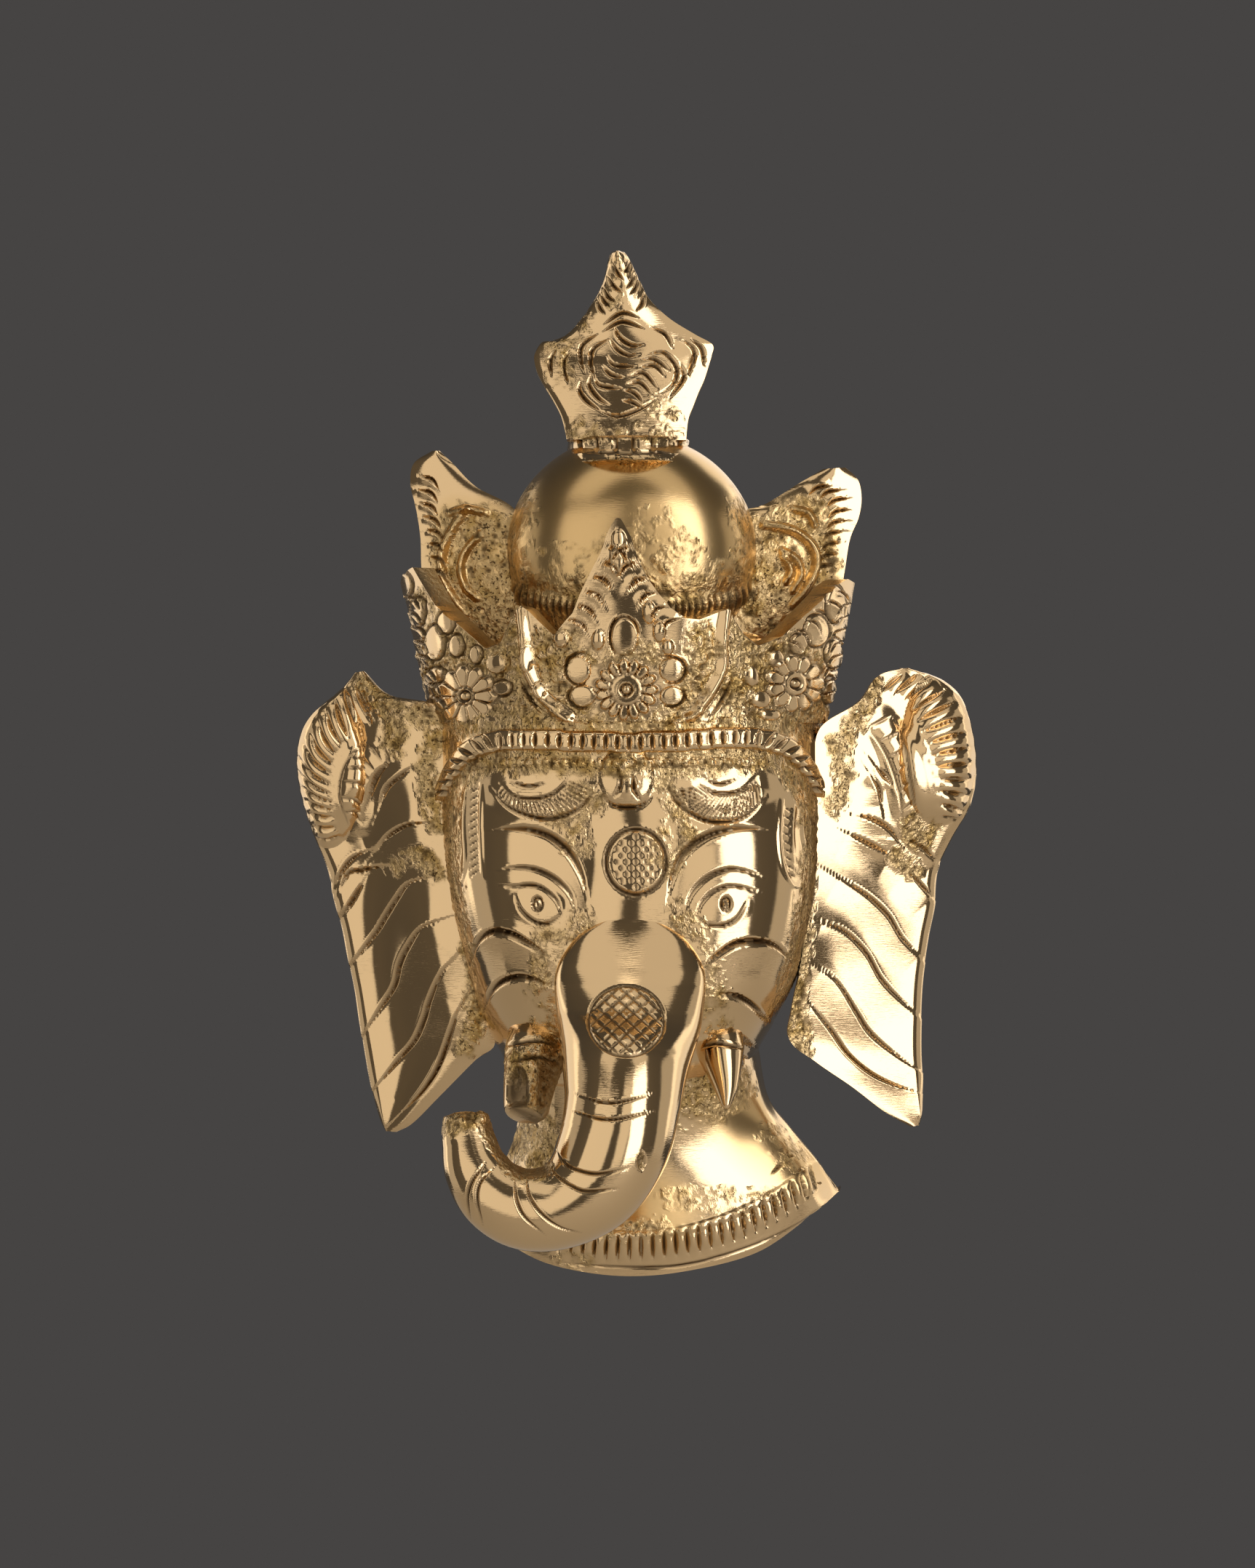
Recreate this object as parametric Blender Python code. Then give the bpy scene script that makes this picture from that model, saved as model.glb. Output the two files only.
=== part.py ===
# Elephant-headed mask for a wall: one hollow brass casting with a flat back rim.
# Metres, +Z up. The mask faces -Y and its rim lies in the plane Y = 0, against the wall.
# The origin is the middle of the hanging bar's back face, behind the topknot.

import math

import bpy
import numpy as np
from mathutils import Vector
from mathutils.bvhtree import BVHTree

# Driving sizes of the casting, in metres
HEIGHT = 0.200
WALL = 0.005
EAR_THICKNESS = 0.005
WING_THICKNESS = 0.005
FINIAL_THICKNESS = 0.006
LEAF_THICKNESS = 0.0045
BAR_WIDTH = 0.012
BAR_THICKNESS = 0.004
THROAT_WIDTH = 0.020
THROAT_DEPTH = 0.015
GROOVE_DEPTH = 0.0010

# The form is free, so its outlines are shares of the height: they are drawn on a sheet
# that is 1400 units high, seen by an eye in front of it, and lifts off the wall are
# given in two-hundredths of the height.
SHEET = HEIGHT / 1400.0
LIFT = HEIGHT / 200.0
ORIGIN_ACROSS = 868.0
ORIGIN_DOWN = 760.0
EYE_ACROSS = 862.5
EYE_DOWN = 1078.0
EYE_LIFT = 908.0
SHEET_LIFT = 10.0

# Solid forms run this far through the wall plane before they are trimmed flat
BEHIND = 0.004

# The topknot is a ball that sinks into the back plane
KNOT_RADIUS = 24.6
KNOT_LIFT = 10.0
BALL_ROWS = 11
BALL_SIDES = 18
# The throat joins the hollows of topknot and head between these heights
THROAT_SPAN = (-30.0, -12.0)

# Head: z, left side, right side, front, squareness of the section, in lift units
HEAD_LEVELS = [
    (-17.0, -30.0, 29.5, 30.0, 2.2),
    (-22.0, -36.0, 35.5, 40.0, 2.3),
    (-32.0, -38.4, 37.4, 44.0, 2.4),
    (-42.0, -38.2, 37.4, 43.5, 2.6),
    (-55.0, -37.6, 37.2, 43.5, 3.0),
    (-68.0, -35.8, 36.0, 43.5, 3.2),
    (-82.0, -32.3, 32.8, 42.5, 3.2),
    (-90.0, -30.2, 29.2, 40.5, 3.0),
    (-97.0, -26.6, 25.4, 37.0, 2.8),
    (-103.0, -23.0, 22.2, 31.0, 2.5),
]
HEAD_SIDES = 20
HEAD_ROWS = 12
# The head's sloping top needs this many walls of depth above its hollow
TOP_WALLS = 1.6

# Trunk: across, down, lift of the middle, half width, half depth
TRUNK_STATIONS = [
    (866, 1288, 33.0, 12.6, 14.5),
    (866, 1340, 42.0, 14.0, 17.0),
    (865, 1400, 49.0, 13.8, 16.0),
    (860, 1460, 56.0, 12.0, 13.6),
    (855, 1520, 60.0, 10.8, 12.0),
    (843, 1575, 62.0, 10.4, 11.4),
    (814, 1627, 63.0, 9.4, 10.4),
    (770, 1658, 63.6, 8.0, 9.4),
    (720, 1662, 63.6, 7.5, 8.6),
    (680, 1642, 63.2, 6.9, 7.8),
    (655, 1608, 62.4, 6.0, 6.8),
    (645, 1572, 61.4, 5.1, 5.6),
    (642, 1543, 60.6, 4.3, 4.6),
]
TRUNK_SIDES = 12
TRUNK_ROWS = 20

# Ears: each rung joins the outer edge to the root at the head, as across, down, lift
LEFT_EAR = [
    ((488, 927, 9.0), (500, 925, 9.5)),
    ((467, 950, 8.0), (534, 955, 12.0)),
    ((430, 980, 7.0), (596, 968, 16.0)),
    ((412, 1010, 6.5), (625, 1000, 18.0)),
    ((407, 1050, 6.0), (630, 1050, 18.5)),
    ((415, 1100, 6.0), (632, 1100, 18.5)),
    ((433, 1152, 6.0), (634, 1150, 18.5)),
    ((454, 1197, 6.0), (638, 1200, 18.5)),
    ((461, 1237, 6.0), (640, 1240, 18.5)),
    ((474, 1290, 6.0), (645, 1290, 18.5)),
    ((484, 1345, 6.0), (655, 1340, 18.0)),
    ((493, 1400, 6.0), (668, 1390, 17.5)),
    ((503, 1455, 6.0), (680, 1436, 16.5)),
    ((511, 1493, 6.0), (652, 1460, 14.5)),
    ((519, 1522, 6.0), (606, 1506, 11.5)),
    ((525, 1541, 6.0), (568, 1544, 8.5)),
    ((531, 1555, 6.0), (545, 1556, 6.5)),
]
RIGHT_EAR = [
    ((1249, 919, 9.5), (1238, 919, 9.5)),
    ((1290, 932, 8.0), (1205, 931, 12.0)),
    ((1318, 955, 7.0), (1180, 965, 15.0)),
    ((1333, 992, 6.5), (1128, 1000, 18.0)),
    ((1341, 1048, 6.0), (1118, 1050, 18.5)),
    ((1334, 1102, 6.0), (1116, 1100, 18.5)),
    ((1308, 1152, 6.0), (1116, 1150, 18.5)),
    ((1289, 1197, 6.0), (1114, 1200, 18.5)),
    ((1285, 1245, 6.0), (1112, 1245, 18.5)),
    ((1277, 1290, 6.0), (1106, 1290, 18.5)),
    ((1270, 1340, 6.0), (1098, 1340, 18.0)),
    ((1267, 1395, 6.0), (1088, 1390, 17.5)),
    ((1266, 1450, 6.0), (1085, 1430, 16.5)),
    ((1268, 1484, 6.0), (1122, 1461, 14.5)),
    ((1268, 1510, 6.0), (1170, 1494, 11.5)),
    ((1268, 1532, 6.0), (1218, 1530, 8.5)),
    ((1264, 1547, 6.0), (1252, 1549, 6.5)),
]
EAR_ROWS = 22
EAR_COLUMNS = 4
EAR_CROWN = 1.5
EAR_EDGE_DROP = 1.2
# The curled shell at an ear's top: across, down, half width, half height, swell
LEFT_SHELL = (452, 1050, 48, 115, 4.0)
RIGHT_SHELL = (1290, 1030, 52, 105, 4.0)

# Wings beside the topknot, laid out like the ears
LEFT_WING = [
    ((594, 620, 12.0), (604, 620, 12.5)),
    ((569, 637, 11.5), (622, 637, 13.5)),
    ((564, 665, 11.0), (654, 669, 14.0)),
    ((572, 700, 11.0), (705, 698, 15.0)),
    ((578, 740, 11.0), (735, 740, 16.0)),
    ((580, 790, 12.0), (745, 800, 17.0)),
    ((590, 850, 13.0), (745, 870, 18.0)),
    ((620, 915, 14.0), (745, 920, 18.0)),
]
RIGHT_WING = [
    ((1158, 643, 12.0), (1142, 642, 12.5)),
    ((1178, 660, 11.5), (1096, 667, 13.5)),
    ((1184, 685, 11.0), (1052, 693, 14.0)),
    ((1180, 712, 11.0), (1020, 705, 15.0)),
    ((1168, 742, 11.0), (995, 740, 16.0)),
    ((1160, 790, 12.0), (985, 800, 17.0)),
    ((1148, 850, 13.0), (985, 870, 18.0)),
    ((1115, 915, 14.0), (985, 920, 18.0)),
]
WING_ROWS = 10
WING_COLUMNS = 4
WING_CROWN = 1.0

# Finial plate on top of the topknot
FINIAL = [
    ((844, 345, 13.0), (853, 345, 13.0)),
    ((830, 386, 13.0), (878, 384, 13.0)),
    ((805, 430, 13.0), (902, 430, 13.0)),
    ((776, 462, 13.0), (940, 452, 13.0)),
    ((742, 478, 12.5), (979, 478, 12.5)),
    ((735, 495, 12.5), (975, 508, 12.5)),
    ((750, 535, 13.0), (957, 550, 13.0)),
    ((772, 574, 13.0), (947, 577, 13.0)),
    ((780, 602, 13.0), (943, 603, 13.0)),
]
FINIAL_ROWS = 14
FINIAL_COLUMNS = 4
FINIAL_CROWN = 2.5
# Neck under the finial: z, half width, front
NECK_LEVELS = [
    (26.0, 11.0, 13.0),
    (22.9, 11.8, 15.5),
    (20.4, 11.8, 15.5),
    (20.3, 12.8, 16.8),
    (18.4, 12.8, 16.8),
    (14.0, 12.0, 16.0),
]
NECK_MIDDLE = -0.5
NECK_BACK = 4.0
NECK_SQUARE = 0.7
NECK_SIDES = 12

# Tiara: the wall follows an ellipse that flares towards the top
CROWN_FOOT = -33.6
CROWN_FLARE_TOP = -4.0
CROWN_SIDE = (40.5, 46.5)
CROWN_FRONT = (45.5, 50.0)
CROWN_TOP_EDGE = [
    (548, 802), (556, 788), (567, 780), (578, 799), (598, 832), (629, 858), (652, 878),
    (668, 892), (688, 884), (702, 852), (718, 832), (738, 852), (761, 874), (776, 855),
    (787, 843), (797, 817), (811, 788), (826, 759), (838, 735), (848, 713), (861, 735),
    (875, 768), (890, 795), (906, 817), (922, 836), (942, 850), (962, 852), (985, 843),
    (1000, 836), (1010, 852), (1023, 873), (1042, 888), (1075, 875), (1102, 850),
    (1128, 827), (1148, 806), (1165, 796), (1175, 802),
]
CROWN_MOST_TURN = 77.0
CROWN_LEAST_STEP = 1.0

# Bust: rows from the neck down to the rim, each from left to right
BUST = [
    [(715, 1480, 6), (742, 1470, 22), (800, 1465, 30), (870, 1465, 33), (940, 1465, 32),
     (1000, 1462, 26), (1030, 1458, 16), (1044, 1455, 4)],
    [(712, 1540, 6), (745, 1545, 20), (800, 1550, 27), (870, 1550, 30), (940, 1548, 29),
     (1005, 1535, 24), (1045, 1518, 14), (1056, 1508, 4)],
    [(692, 1600, 5), (730, 1615, 18), (800, 1628, 24.5), (870, 1632, 27), (950, 1625, 26.5),
     (1020, 1600, 22), (1068, 1570, 14), (1088, 1553, 4)],
    [(665, 1645, 4), (720, 1675, 16), (800, 1692, 22.5), (870, 1697, 25), (950, 1690, 24.5),
     (1040, 1660, 20), (1100, 1625, 12.5), (1128, 1602, 4)],
    [(652, 1664, 3), (710, 1702, 15), (765, 1727, 20), (850, 1741, 23), (940, 1735, 23),
     (1040, 1708, 18.5), (1115, 1665, 11), (1150, 1636, 3)],
    [(650, 1672, 2), (706, 1714, 13), (762, 1740, 18), (850, 1755, 21), (940, 1749, 21),
     (1042, 1722, 16.5), (1120, 1672, 9), (1158, 1634, 2)],
]
BUST_ROWS = 9
BUST_COLUMNS = 12

# Tusks: across, down, lift, radius at each station
LEFT_TUSK = [(738, 1425, 30, 5.6), (735, 1452, 34, 5.8), (728, 1490, 38, 5.0), (722, 1532, 41, 4.2)]
RIGHT_TUSK = [(985, 1420, 29, 5.0), (990, 1445, 33, 4.6), (997, 1490, 37, 2.6), (998, 1524, 39, 0.5)]
TUSK_SIDES = 8
TUSK_ROWS = 4

# Rope band over the brow, from the left temple to the right one, and its notches
BAND = [
    (600, 1152), (597, 1128), (601, 1106), (612, 1082), (624, 1058), (640, 1036),
    (664, 1023), (700, 1018), (760, 1018), (820, 1021), (862, 1022), (905, 1021),
    (960, 1017), (1010, 1014), (1058, 1019), (1088, 1033), (1108, 1056), (1122, 1082),
    (1130, 1108), (1131, 1134),
]
BAND_TEETH = 30
BAND_HALF_WIDTH = 1.7
BAND_TAPER = 0.75
BAND_RISE = 1.8
BAND_SINK = 2.0
NOTCH_SINK = 0.9

# Flowers of the tiara: across, down, petal tip radius, petals
FLOWERS = [(860, 948, 5.6, 9), (640, 955, 4.6, 8), (1091, 940, 4.4, 8)]
FLOWER_RISE = 1.3
# Smooth bosses in relief: across, down, half width, half height, rise
BOSSES = [
    (861, 1404, 7.2, 6.7, 0.7),
    (874, 1185, 5.9, 6.2, 0.8),
    (861, 1080, 4.2, 4.6, 1.2),
    (858, 876, 2.6, 3.6, 1.2),
]
BOSS_SIDES = 10
BOSS_SINK = 1.6
PETAL_DIP = 0.72

# Cut lines, as groups of strokes with one width in lift units
BROW_LINES = [
    [(668, 1143), (699, 1139), (730, 1141), (758, 1151), (782, 1172), (799, 1203), (808, 1238)],
    [(1064, 1143), (1033, 1139), (999, 1141), (968, 1151), (940, 1172), (926, 1200), (916, 1241)],
]
FACE_LINES = [
    [(675, 1083), (696, 1107), (723, 1120), (758, 1125), (792, 1112), (813, 1090)],
    [(913, 1079), (930, 1103), (951, 1120), (975, 1129), (1006, 1129), (1033, 1117), (1054, 1093)],
    [(680, 1198), (709, 1193), (737, 1196), (765, 1210), (784, 1231), (792, 1256)],
    [(1054, 1208), (1026, 1198), (999, 1196), (971, 1207), (951, 1227), (940, 1255)],
    [(684, 1217), (706, 1219), (727, 1217), (747, 1222), (765, 1238), (773, 1258)],
    [(708, 1231), (716, 1251), (734, 1267), (754, 1270), (770, 1262)],
    [(1047, 1227), (1019, 1220), (999, 1219), (978, 1227), (964, 1241), (956, 1260)],
    [(962, 1262), (975, 1271), (992, 1272), (1013, 1262), (1028, 1238)],
    [(650, 1318), (655, 1295), (674, 1283), (700, 1284), (726, 1297), (750, 1313)],
    [(668, 1380), (674, 1366), (689, 1351), (711, 1344), (733, 1347), (750, 1352)],
    [(694, 1451), (707, 1436), (726, 1429), (757, 1430)],
    [(966, 1330), (988, 1312), (1014, 1297), (1044, 1295), (1070, 1303), (1090, 1325)],
    [(983, 1369), (1007, 1369), (1029, 1379), (1055, 1400)],
    [(976, 1425), (1000, 1421), (1018, 1427), (1038, 1439)],
]
EAR_LINES = [
    [(590, 1205), (560, 1215), (545, 1235), (530, 1260), (515, 1285), (482, 1330)],
    [(612, 1262), (580, 1275), (562, 1300), (550, 1325), (542, 1355), (520, 1390), (502, 1420)],
    [(625, 1316), (605, 1340), (590, 1375), (583, 1400), (570, 1430), (545, 1460), (517, 1495)],
    [(635, 1380), (625, 1400), (612, 1440), (600, 1470), (580, 1500), (553, 1527)],
    [(588, 1130), (560, 1134), (535, 1148), (520, 1165)],
    [(1150, 1205), (1190, 1230), (1220, 1258), (1240, 1290), (1264, 1316)],
    [(1125, 1265), (1160, 1280), (1190, 1310), (1210, 1345), (1235, 1372), (1258, 1393)],
    [(1125, 1330), (1150, 1350), (1175, 1390), (1195, 1420), (1230, 1450), (1256, 1468)],
    [(1113, 1380), (1140, 1415), (1165, 1450), (1195, 1475), (1225, 1490), (1253, 1500)],
    [(1163, 1145), (1190, 1158), (1225, 1175), (1252, 1200), (1280, 1234)],
]
TRUNK_LINES = [
    [(787, 1503), (837, 1516), (902, 1503)],
    [(785, 1527), (837, 1539), (903, 1527)],
    [(762, 1582), (774, 1597), (792, 1608), (822, 1614), (864, 1606)],
    [(726, 1622), (731, 1645), (747, 1668), (770, 1684), (792, 1690)],
    [(680, 1605), (660, 1625), (655, 1650), (664, 1684)],
]
LINE_WIDTH = 1.3
BROW_WIDTH = 2.4
# Short cuts that fan round the ear shells, the rim of the bust and the wings:
# inner curve, outer curve, number of cuts
FANS = [
    ([(470, 960), (440, 1000), (428, 1050), (440, 1110), (462, 1150)],
     [(452, 966), (424, 998), (412, 1050), (424, 1108), (446, 1160)], 7),
    ([(1230, 950), (1262, 985), (1282, 1030), (1292, 1075), (1288, 1125)],
     [(1250, 930), (1300, 955), (1328, 1010), (1332, 1065), (1315, 1125)], 7),
    ([(846, 1708), (925, 1701), (1000, 1680), (1065, 1648), (1118, 1608)],
     [(846, 1734), (930, 1728), (1010, 1707), (1080, 1674), (1134, 1630)], 11),
    ([(590, 655), (588, 700), (598, 750), (600, 800)],
     [(574, 652), (573, 692), (583, 745), (586, 792)], 5),
    ([(1140, 668), (1160, 690), (1150, 730), (1140, 780)],
     [(1150, 656), (1178, 690), (1168, 728), (1156, 778)], 5),
    ([(800, 606), (866, 606), (925, 606)], [(800, 618), (866, 618), (925, 618)], 6),
]
FAN_WIDTH = 1.1
GROOVE_RISE = 0.0006
END_SHARE = 0.35
LINE_STEPS = 5
FAN_STEPS = 2

BRASS = (0.72, 0.48, 0.20, 1.0)


def clear_scene():
    """Remove whatever the file holds, so that only the mask is left."""
    for old in list(bpy.data.objects):
        bpy.data.objects.remove(old, do_unlink=True)


def spot(across, down, lift):
    """The point that the eye sees at a place of the sheet, at a lift off the wall."""
    shrink = (EYE_LIFT - lift) / (EYE_LIFT - SHEET_LIFT)
    x = ((across - EYE_ACROSS) * shrink + EYE_ACROSS - ORIGIN_ACROSS) * SHEET
    z = ((EYE_DOWN - down) * shrink + ORIGIN_DOWN - EYE_DOWN) * SHEET
    return Vector((x, -lift * LIFT, z))


def curve(points, count):
    """Rows evenly spaced along a Catmull-Rom curve through the rows of points."""
    rows = np.array(points, float)
    padded = np.vstack([2 * rows[0] - rows[1], rows, 2 * rows[-1] - rows[-2]])
    steps = np.linspace(0.0, len(rows) - 1, 16 * len(rows))
    fine = []
    for step in steps:
        i = min(int(step), len(rows) - 2)
        t = step - i
        a, b, c, d = padded[i:i + 4]
        fine.append(0.5 * (2 * b + (c - a) * t + (2 * a - 5 * b + 4 * c - d) * t * t
                           + (3 * b - a - 3 * c + d) * t ** 3))
    fine = np.array(fine)
    run = np.concatenate([[0.0], np.cumsum(np.linalg.norm(np.diff(fine, axis=0), axis=1))])
    places = np.linspace(0.0, run[-1], count)
    return np.stack([np.interp(places, run, column) for column in fine.T], axis=1)


def add_mesh(name, points, faces, helper=True):
    """New object from points and faces, its faces turned to point out of the body."""
    mesh = bpy.data.meshes.new(name)
    mesh.from_pydata([tuple(p) for p in points], [], faces)
    mesh.update()
    obj = bpy.data.objects.new(name, mesh)
    bpy.context.scene.collection.objects.link(obj)
    if signed_volume(mesh) < 0.0:
        mesh.flip_normals()
    obj.hide_render = helper
    if helper:
        obj.display_type = "WIRE"
    return obj


def signed_volume(mesh):
    """Volume inside the faces, below zero where they point inwards."""
    mesh.calc_loop_triangles()
    total = 0.0
    for triangle in mesh.loop_triangles:
        a, b, c = (mesh.vertices[i].co for i in triangle.vertices)
        total += a.dot(b.cross(c)) / 6.0
    return total


def closed_grid(name, front, back):
    """Closed body between two grids of points with the same rows and columns."""
    rows = len(front)
    columns = len(front[0])
    points = [p for row in front for p in row] + [p for row in back for p in row]
    depth = rows * columns
    faces = []
    for r in range(rows - 1):
        for c in range(columns - 1):
            a = r * columns + c
            faces.append((a, a + 1, a + columns + 1, a + columns))
            faces.append((depth + a, depth + a + columns, depth + a + columns + 1, depth + a + 1))
    border = [c for c in range(columns)]
    border += [r * columns + columns - 1 for r in range(1, rows)]
    border += [(rows - 1) * columns + c for c in range(columns - 2, -1, -1)]
    border += [r * columns for r in range(rows - 2, 0, -1)]
    for here, there in zip(border, border[1:] + border[:1]):
        faces.append((there, here, depth + here, depth + there))
    return add_mesh(name, points, faces)


def loft(name, rings):
    """Closed body through rings of the same number of points, with flat ends."""
    sides = len(rings[0])
    points = [p for ring in rings for p in ring]
    faces = [tuple(reversed(range(sides)))]
    for r in range(len(rings) - 1):
        for s in range(sides):
            a = r * sides + s
            b = r * sides + (s + 1) % sides
            faces.append((a, b, b + sides, a + sides))
    last = (len(rings) - 1) * sides
    faces.append(tuple(range(last, last + sides)))
    return add_mesh(name, points, faces)


def plate(name, rungs, rows, columns, crown, thickness, swell=None, edge_drop=0.0):
    """Cast plate between two rails; it bulges by the crown and keeps one thickness."""
    rails = curve([outer + inner for outer, inner in rungs], rows)
    front = []
    back = []
    for rail in rails:
        front_row = []
        back_row = []
        for c in range(columns + 1):
            u = c / columns
            across, down, lift = rail[:3] * (1.0 - u) + rail[3:] * u
            lift += crown * 4.0 * u * (1.0 - u)
            rise = shell_rise(swell, across, down)
            drop = edge_drop if c == 0 else 0.0
            point = spot(across, down, lift + rise - drop)
            behind = min(-(lift + rise * 0.5) * LIFT + thickness, -0.0003)
            front_row.append(point)
            back_row.append(Vector((point.x, behind, point.z)))
        front.append(front_row)
        back.append(back_row)
    return closed_grid(name, front, back)


def shell_rise(swell, across, down):
    """Height of the rounded shell at a place of the sheet, zero outside it."""
    if swell is None:
        return 0.0
    middle_across, middle_down, half_width, half_height, rise = swell
    reach = ((across - middle_across) / half_width) ** 2 + ((down - middle_down) / half_height) ** 2
    return rise * max(0.0, 1.0 - reach * reach)


def head_section(z):
    """Left side, right side, front and squareness of the head at a height."""
    levels = np.array(HEAD_LEVELS)[::-1]
    return [float(np.interp(z, levels[:, 0], levels[:, k])) for k in range(1, 5)]


def head_ring(z, inset, behind):
    """Half-round section of the head, from behind the wall plane round the front."""
    left, right, front, power = head_section(z)
    middle = (left + right) / 2.0 * LIFT
    half = (right - left) / 2.0 * LIFT - inset
    depth = front * LIFT - inset
    ring = []
    for s in range(HEAD_SIDES + 1):
        angle = math.pi * s / HEAD_SIDES
        side = math.copysign(abs(math.cos(angle)) ** (2.0 / power), math.cos(angle))
        x = middle - half * side
        y = -depth * math.sin(angle) ** (2.0 / power)
        ring.append(Vector((x, y, z * LIFT)))
    ring[0].y = behind
    ring[-1].y = behind
    return ring


def head_rings(top, bottom, inset, behind):
    """Sections of the head between two heights."""
    step = (bottom - top) / (HEAD_ROWS - 1)
    return [head_ring(top + step * r, inset, behind) for r in range(HEAD_ROWS)]


def head_body():
    """Solid head: a squared half-round that narrows to the jaw."""
    return loft("head_form", head_rings(HEAD_LEVELS[0][0], HEAD_LEVELS[-1][0], 0.0, BEHIND))


def head_hollow():
    """The head's hollow, one wall inside it and open at the back."""
    wall = WALL / LIFT
    top = HEAD_LEVELS[0][0] - TOP_WALLS * wall
    bottom = HEAD_LEVELS[-1][0] + wall
    return loft("head_hollow", head_rings(top, bottom, WALL, 3.0 * BEHIND))


def round_ball(name, radius, lift):
    """Ball of the topknot, or of the hollow in it."""
    rings = []
    for r in range(1, BALL_ROWS):
        polar = math.pi * r / BALL_ROWS
        ring = []
        for s in range(BALL_SIDES):
            turn = 2.0 * math.pi * s / BALL_SIDES
            flat = radius * math.sin(polar)
            y = -lift - flat * math.sin(turn)
            ring.append(Vector((flat * math.cos(turn), y, radius * math.cos(polar))))
        rings.append(ring)
    return loft(name, rings)


def box_form(name, low, high):
    """Plain box between two corners."""
    points = [(x, y, z) for x in (low[0], high[0]) for y in (low[1], high[1]) for z in (low[2], high[2])]
    faces = [(0, 1, 3, 2), (4, 6, 7, 5), (0, 4, 5, 1), (2, 3, 7, 6), (0, 2, 6, 4), (1, 5, 7, 3)]
    return add_mesh(name, points, faces)


def tube(name, stations, rows, sides):
    """Round bar along stations of across, down, lift, half width and half depth."""
    track = curve(stations, rows)
    middles = [spot(*row[:3]) for row in track]
    rings = []
    for i, row in enumerate(track):
        before = middles[max(i - 1, 0)]
        after = middles[min(i + 1, rows - 1)]
        along = (after - before).normalized()
        side = along.cross(Vector((0.0, -1.0, 0.0))).normalized()
        face = side.cross(along).normalized()
        ring = []
        for s in range(sides):
            turn = 2.0 * math.pi * s / sides
            ring.append(middles[i] + side * (row[3] * LIFT * math.cos(turn))
                        + face * (row[4] * LIFT * math.sin(turn)))
        rings.append(ring)
    return loft(name, rings)


def finial_neck():
    """Half-round neck and collar between the topknot and the finial."""
    rings = []
    for z, half, front in NECK_LEVELS:
        ring = []
        for s in range(NECK_SIDES + 1):
            turn = math.pi * s / NECK_SIDES
            x = (NECK_MIDDLE - half * math.cos(turn)) * LIFT
            y = -(NECK_BACK + (front - NECK_BACK) * math.sin(turn) ** NECK_SQUARE) * LIFT
            ring.append(Vector((x, y, z * LIFT)))
        rings.append(ring)
    return loft("finial_neck", rings)


def crown_size(z):
    """Half width and depth of the tiara's wall at a height."""
    up = (z - CROWN_FOOT) / (CROWN_FLARE_TOP - CROWN_FOOT)
    up = min(max(up, 0.0), 1.3)
    return (CROWN_SIDE[0] + (CROWN_SIDE[1] - CROWN_SIDE[0]) * up,
            CROWN_FRONT[0] + (CROWN_FRONT[1] - CROWN_FRONT[0]) * up)


def crown_turn(across, down):
    """Turn about the head and height of the crown point seen at a place of the sheet."""
    lift = 30.0
    for _ in range(12):
        point = spot(across, down, lift)
        side, front = crown_size(point.z / LIFT)
        share = max(-0.99, min(0.99, point.x / LIFT / side))
        lift = 0.5 * lift + 0.5 * front * math.sqrt(1.0 - share * share)
    turn = math.degrees(math.asin(share))
    return max(-CROWN_MOST_TURN, min(CROWN_MOST_TURN, turn)), point.z / LIFT


def tiara():
    """Five pointed leaves in one wall round the brow."""
    edge = [crown_turn(across, down) for across, down in CROWN_TOP_EDGE]
    front = []
    back = []
    last_turn = -180.0
    for turn, top in edge:
        turn = max(turn, last_turn + CROWN_LEAST_STEP)
        last_turn = turn
        outside = []
        inside = []
        for share in (0.0, 0.5, 1.0):
            z = CROWN_FOOT + (top - CROWN_FOOT) * share
            side, depth = crown_size(z)
            angle = math.radians(turn)
            x = side * math.sin(angle) * LIFT
            y = -depth * math.cos(angle) * LIFT
            inward = Vector((-math.sin(angle), math.cos(angle), 0.0))
            outside.append(Vector((x, y, z * LIFT)))
            inside.append(Vector((x, y, z * LIFT)) + inward * LEAF_THICKNESS)
        front.append(outside)
        back.append(inside)
    return closed_grid("tiara_form", front, back)


def bust_grid(inset):
    """Grid of the bust's front; an inset moves it inwards by its own normals."""
    across_rows = [curve(row, BUST_COLUMNS + 1) for row in BUST]
    columns = [curve([row[c] for row in across_rows], BUST_ROWS) for c in range(BUST_COLUMNS + 1)]
    grid = [[spot(*columns[c][r]) for c in range(BUST_COLUMNS + 1)] for r in range(BUST_ROWS)]
    if inset == 0.0:
        return grid
    moved = []
    for r in range(BUST_ROWS):
        row = []
        for c in range(BUST_COLUMNS + 1):
            along = grid[r][min(c + 1, BUST_COLUMNS)] - grid[r][max(c - 1, 0)]
            down = grid[min(r + 1, BUST_ROWS - 1)][c] - grid[max(r - 1, 0)][c]
            normal = along.cross(down).normalized()
            if normal.y > 0.0:
                normal = -normal
            row.append(grid[r][c] - normal * inset)
        moved.append(row)
    return moved


def bust_body():
    """Neck and shoulders, solid back to the wall plane."""
    front = bust_grid(0.0)
    back = [[Vector((p.x, 0.7 * BEHIND, p.z)) for p in row] for row in front]
    return closed_grid("bust_form", front, back)


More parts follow.
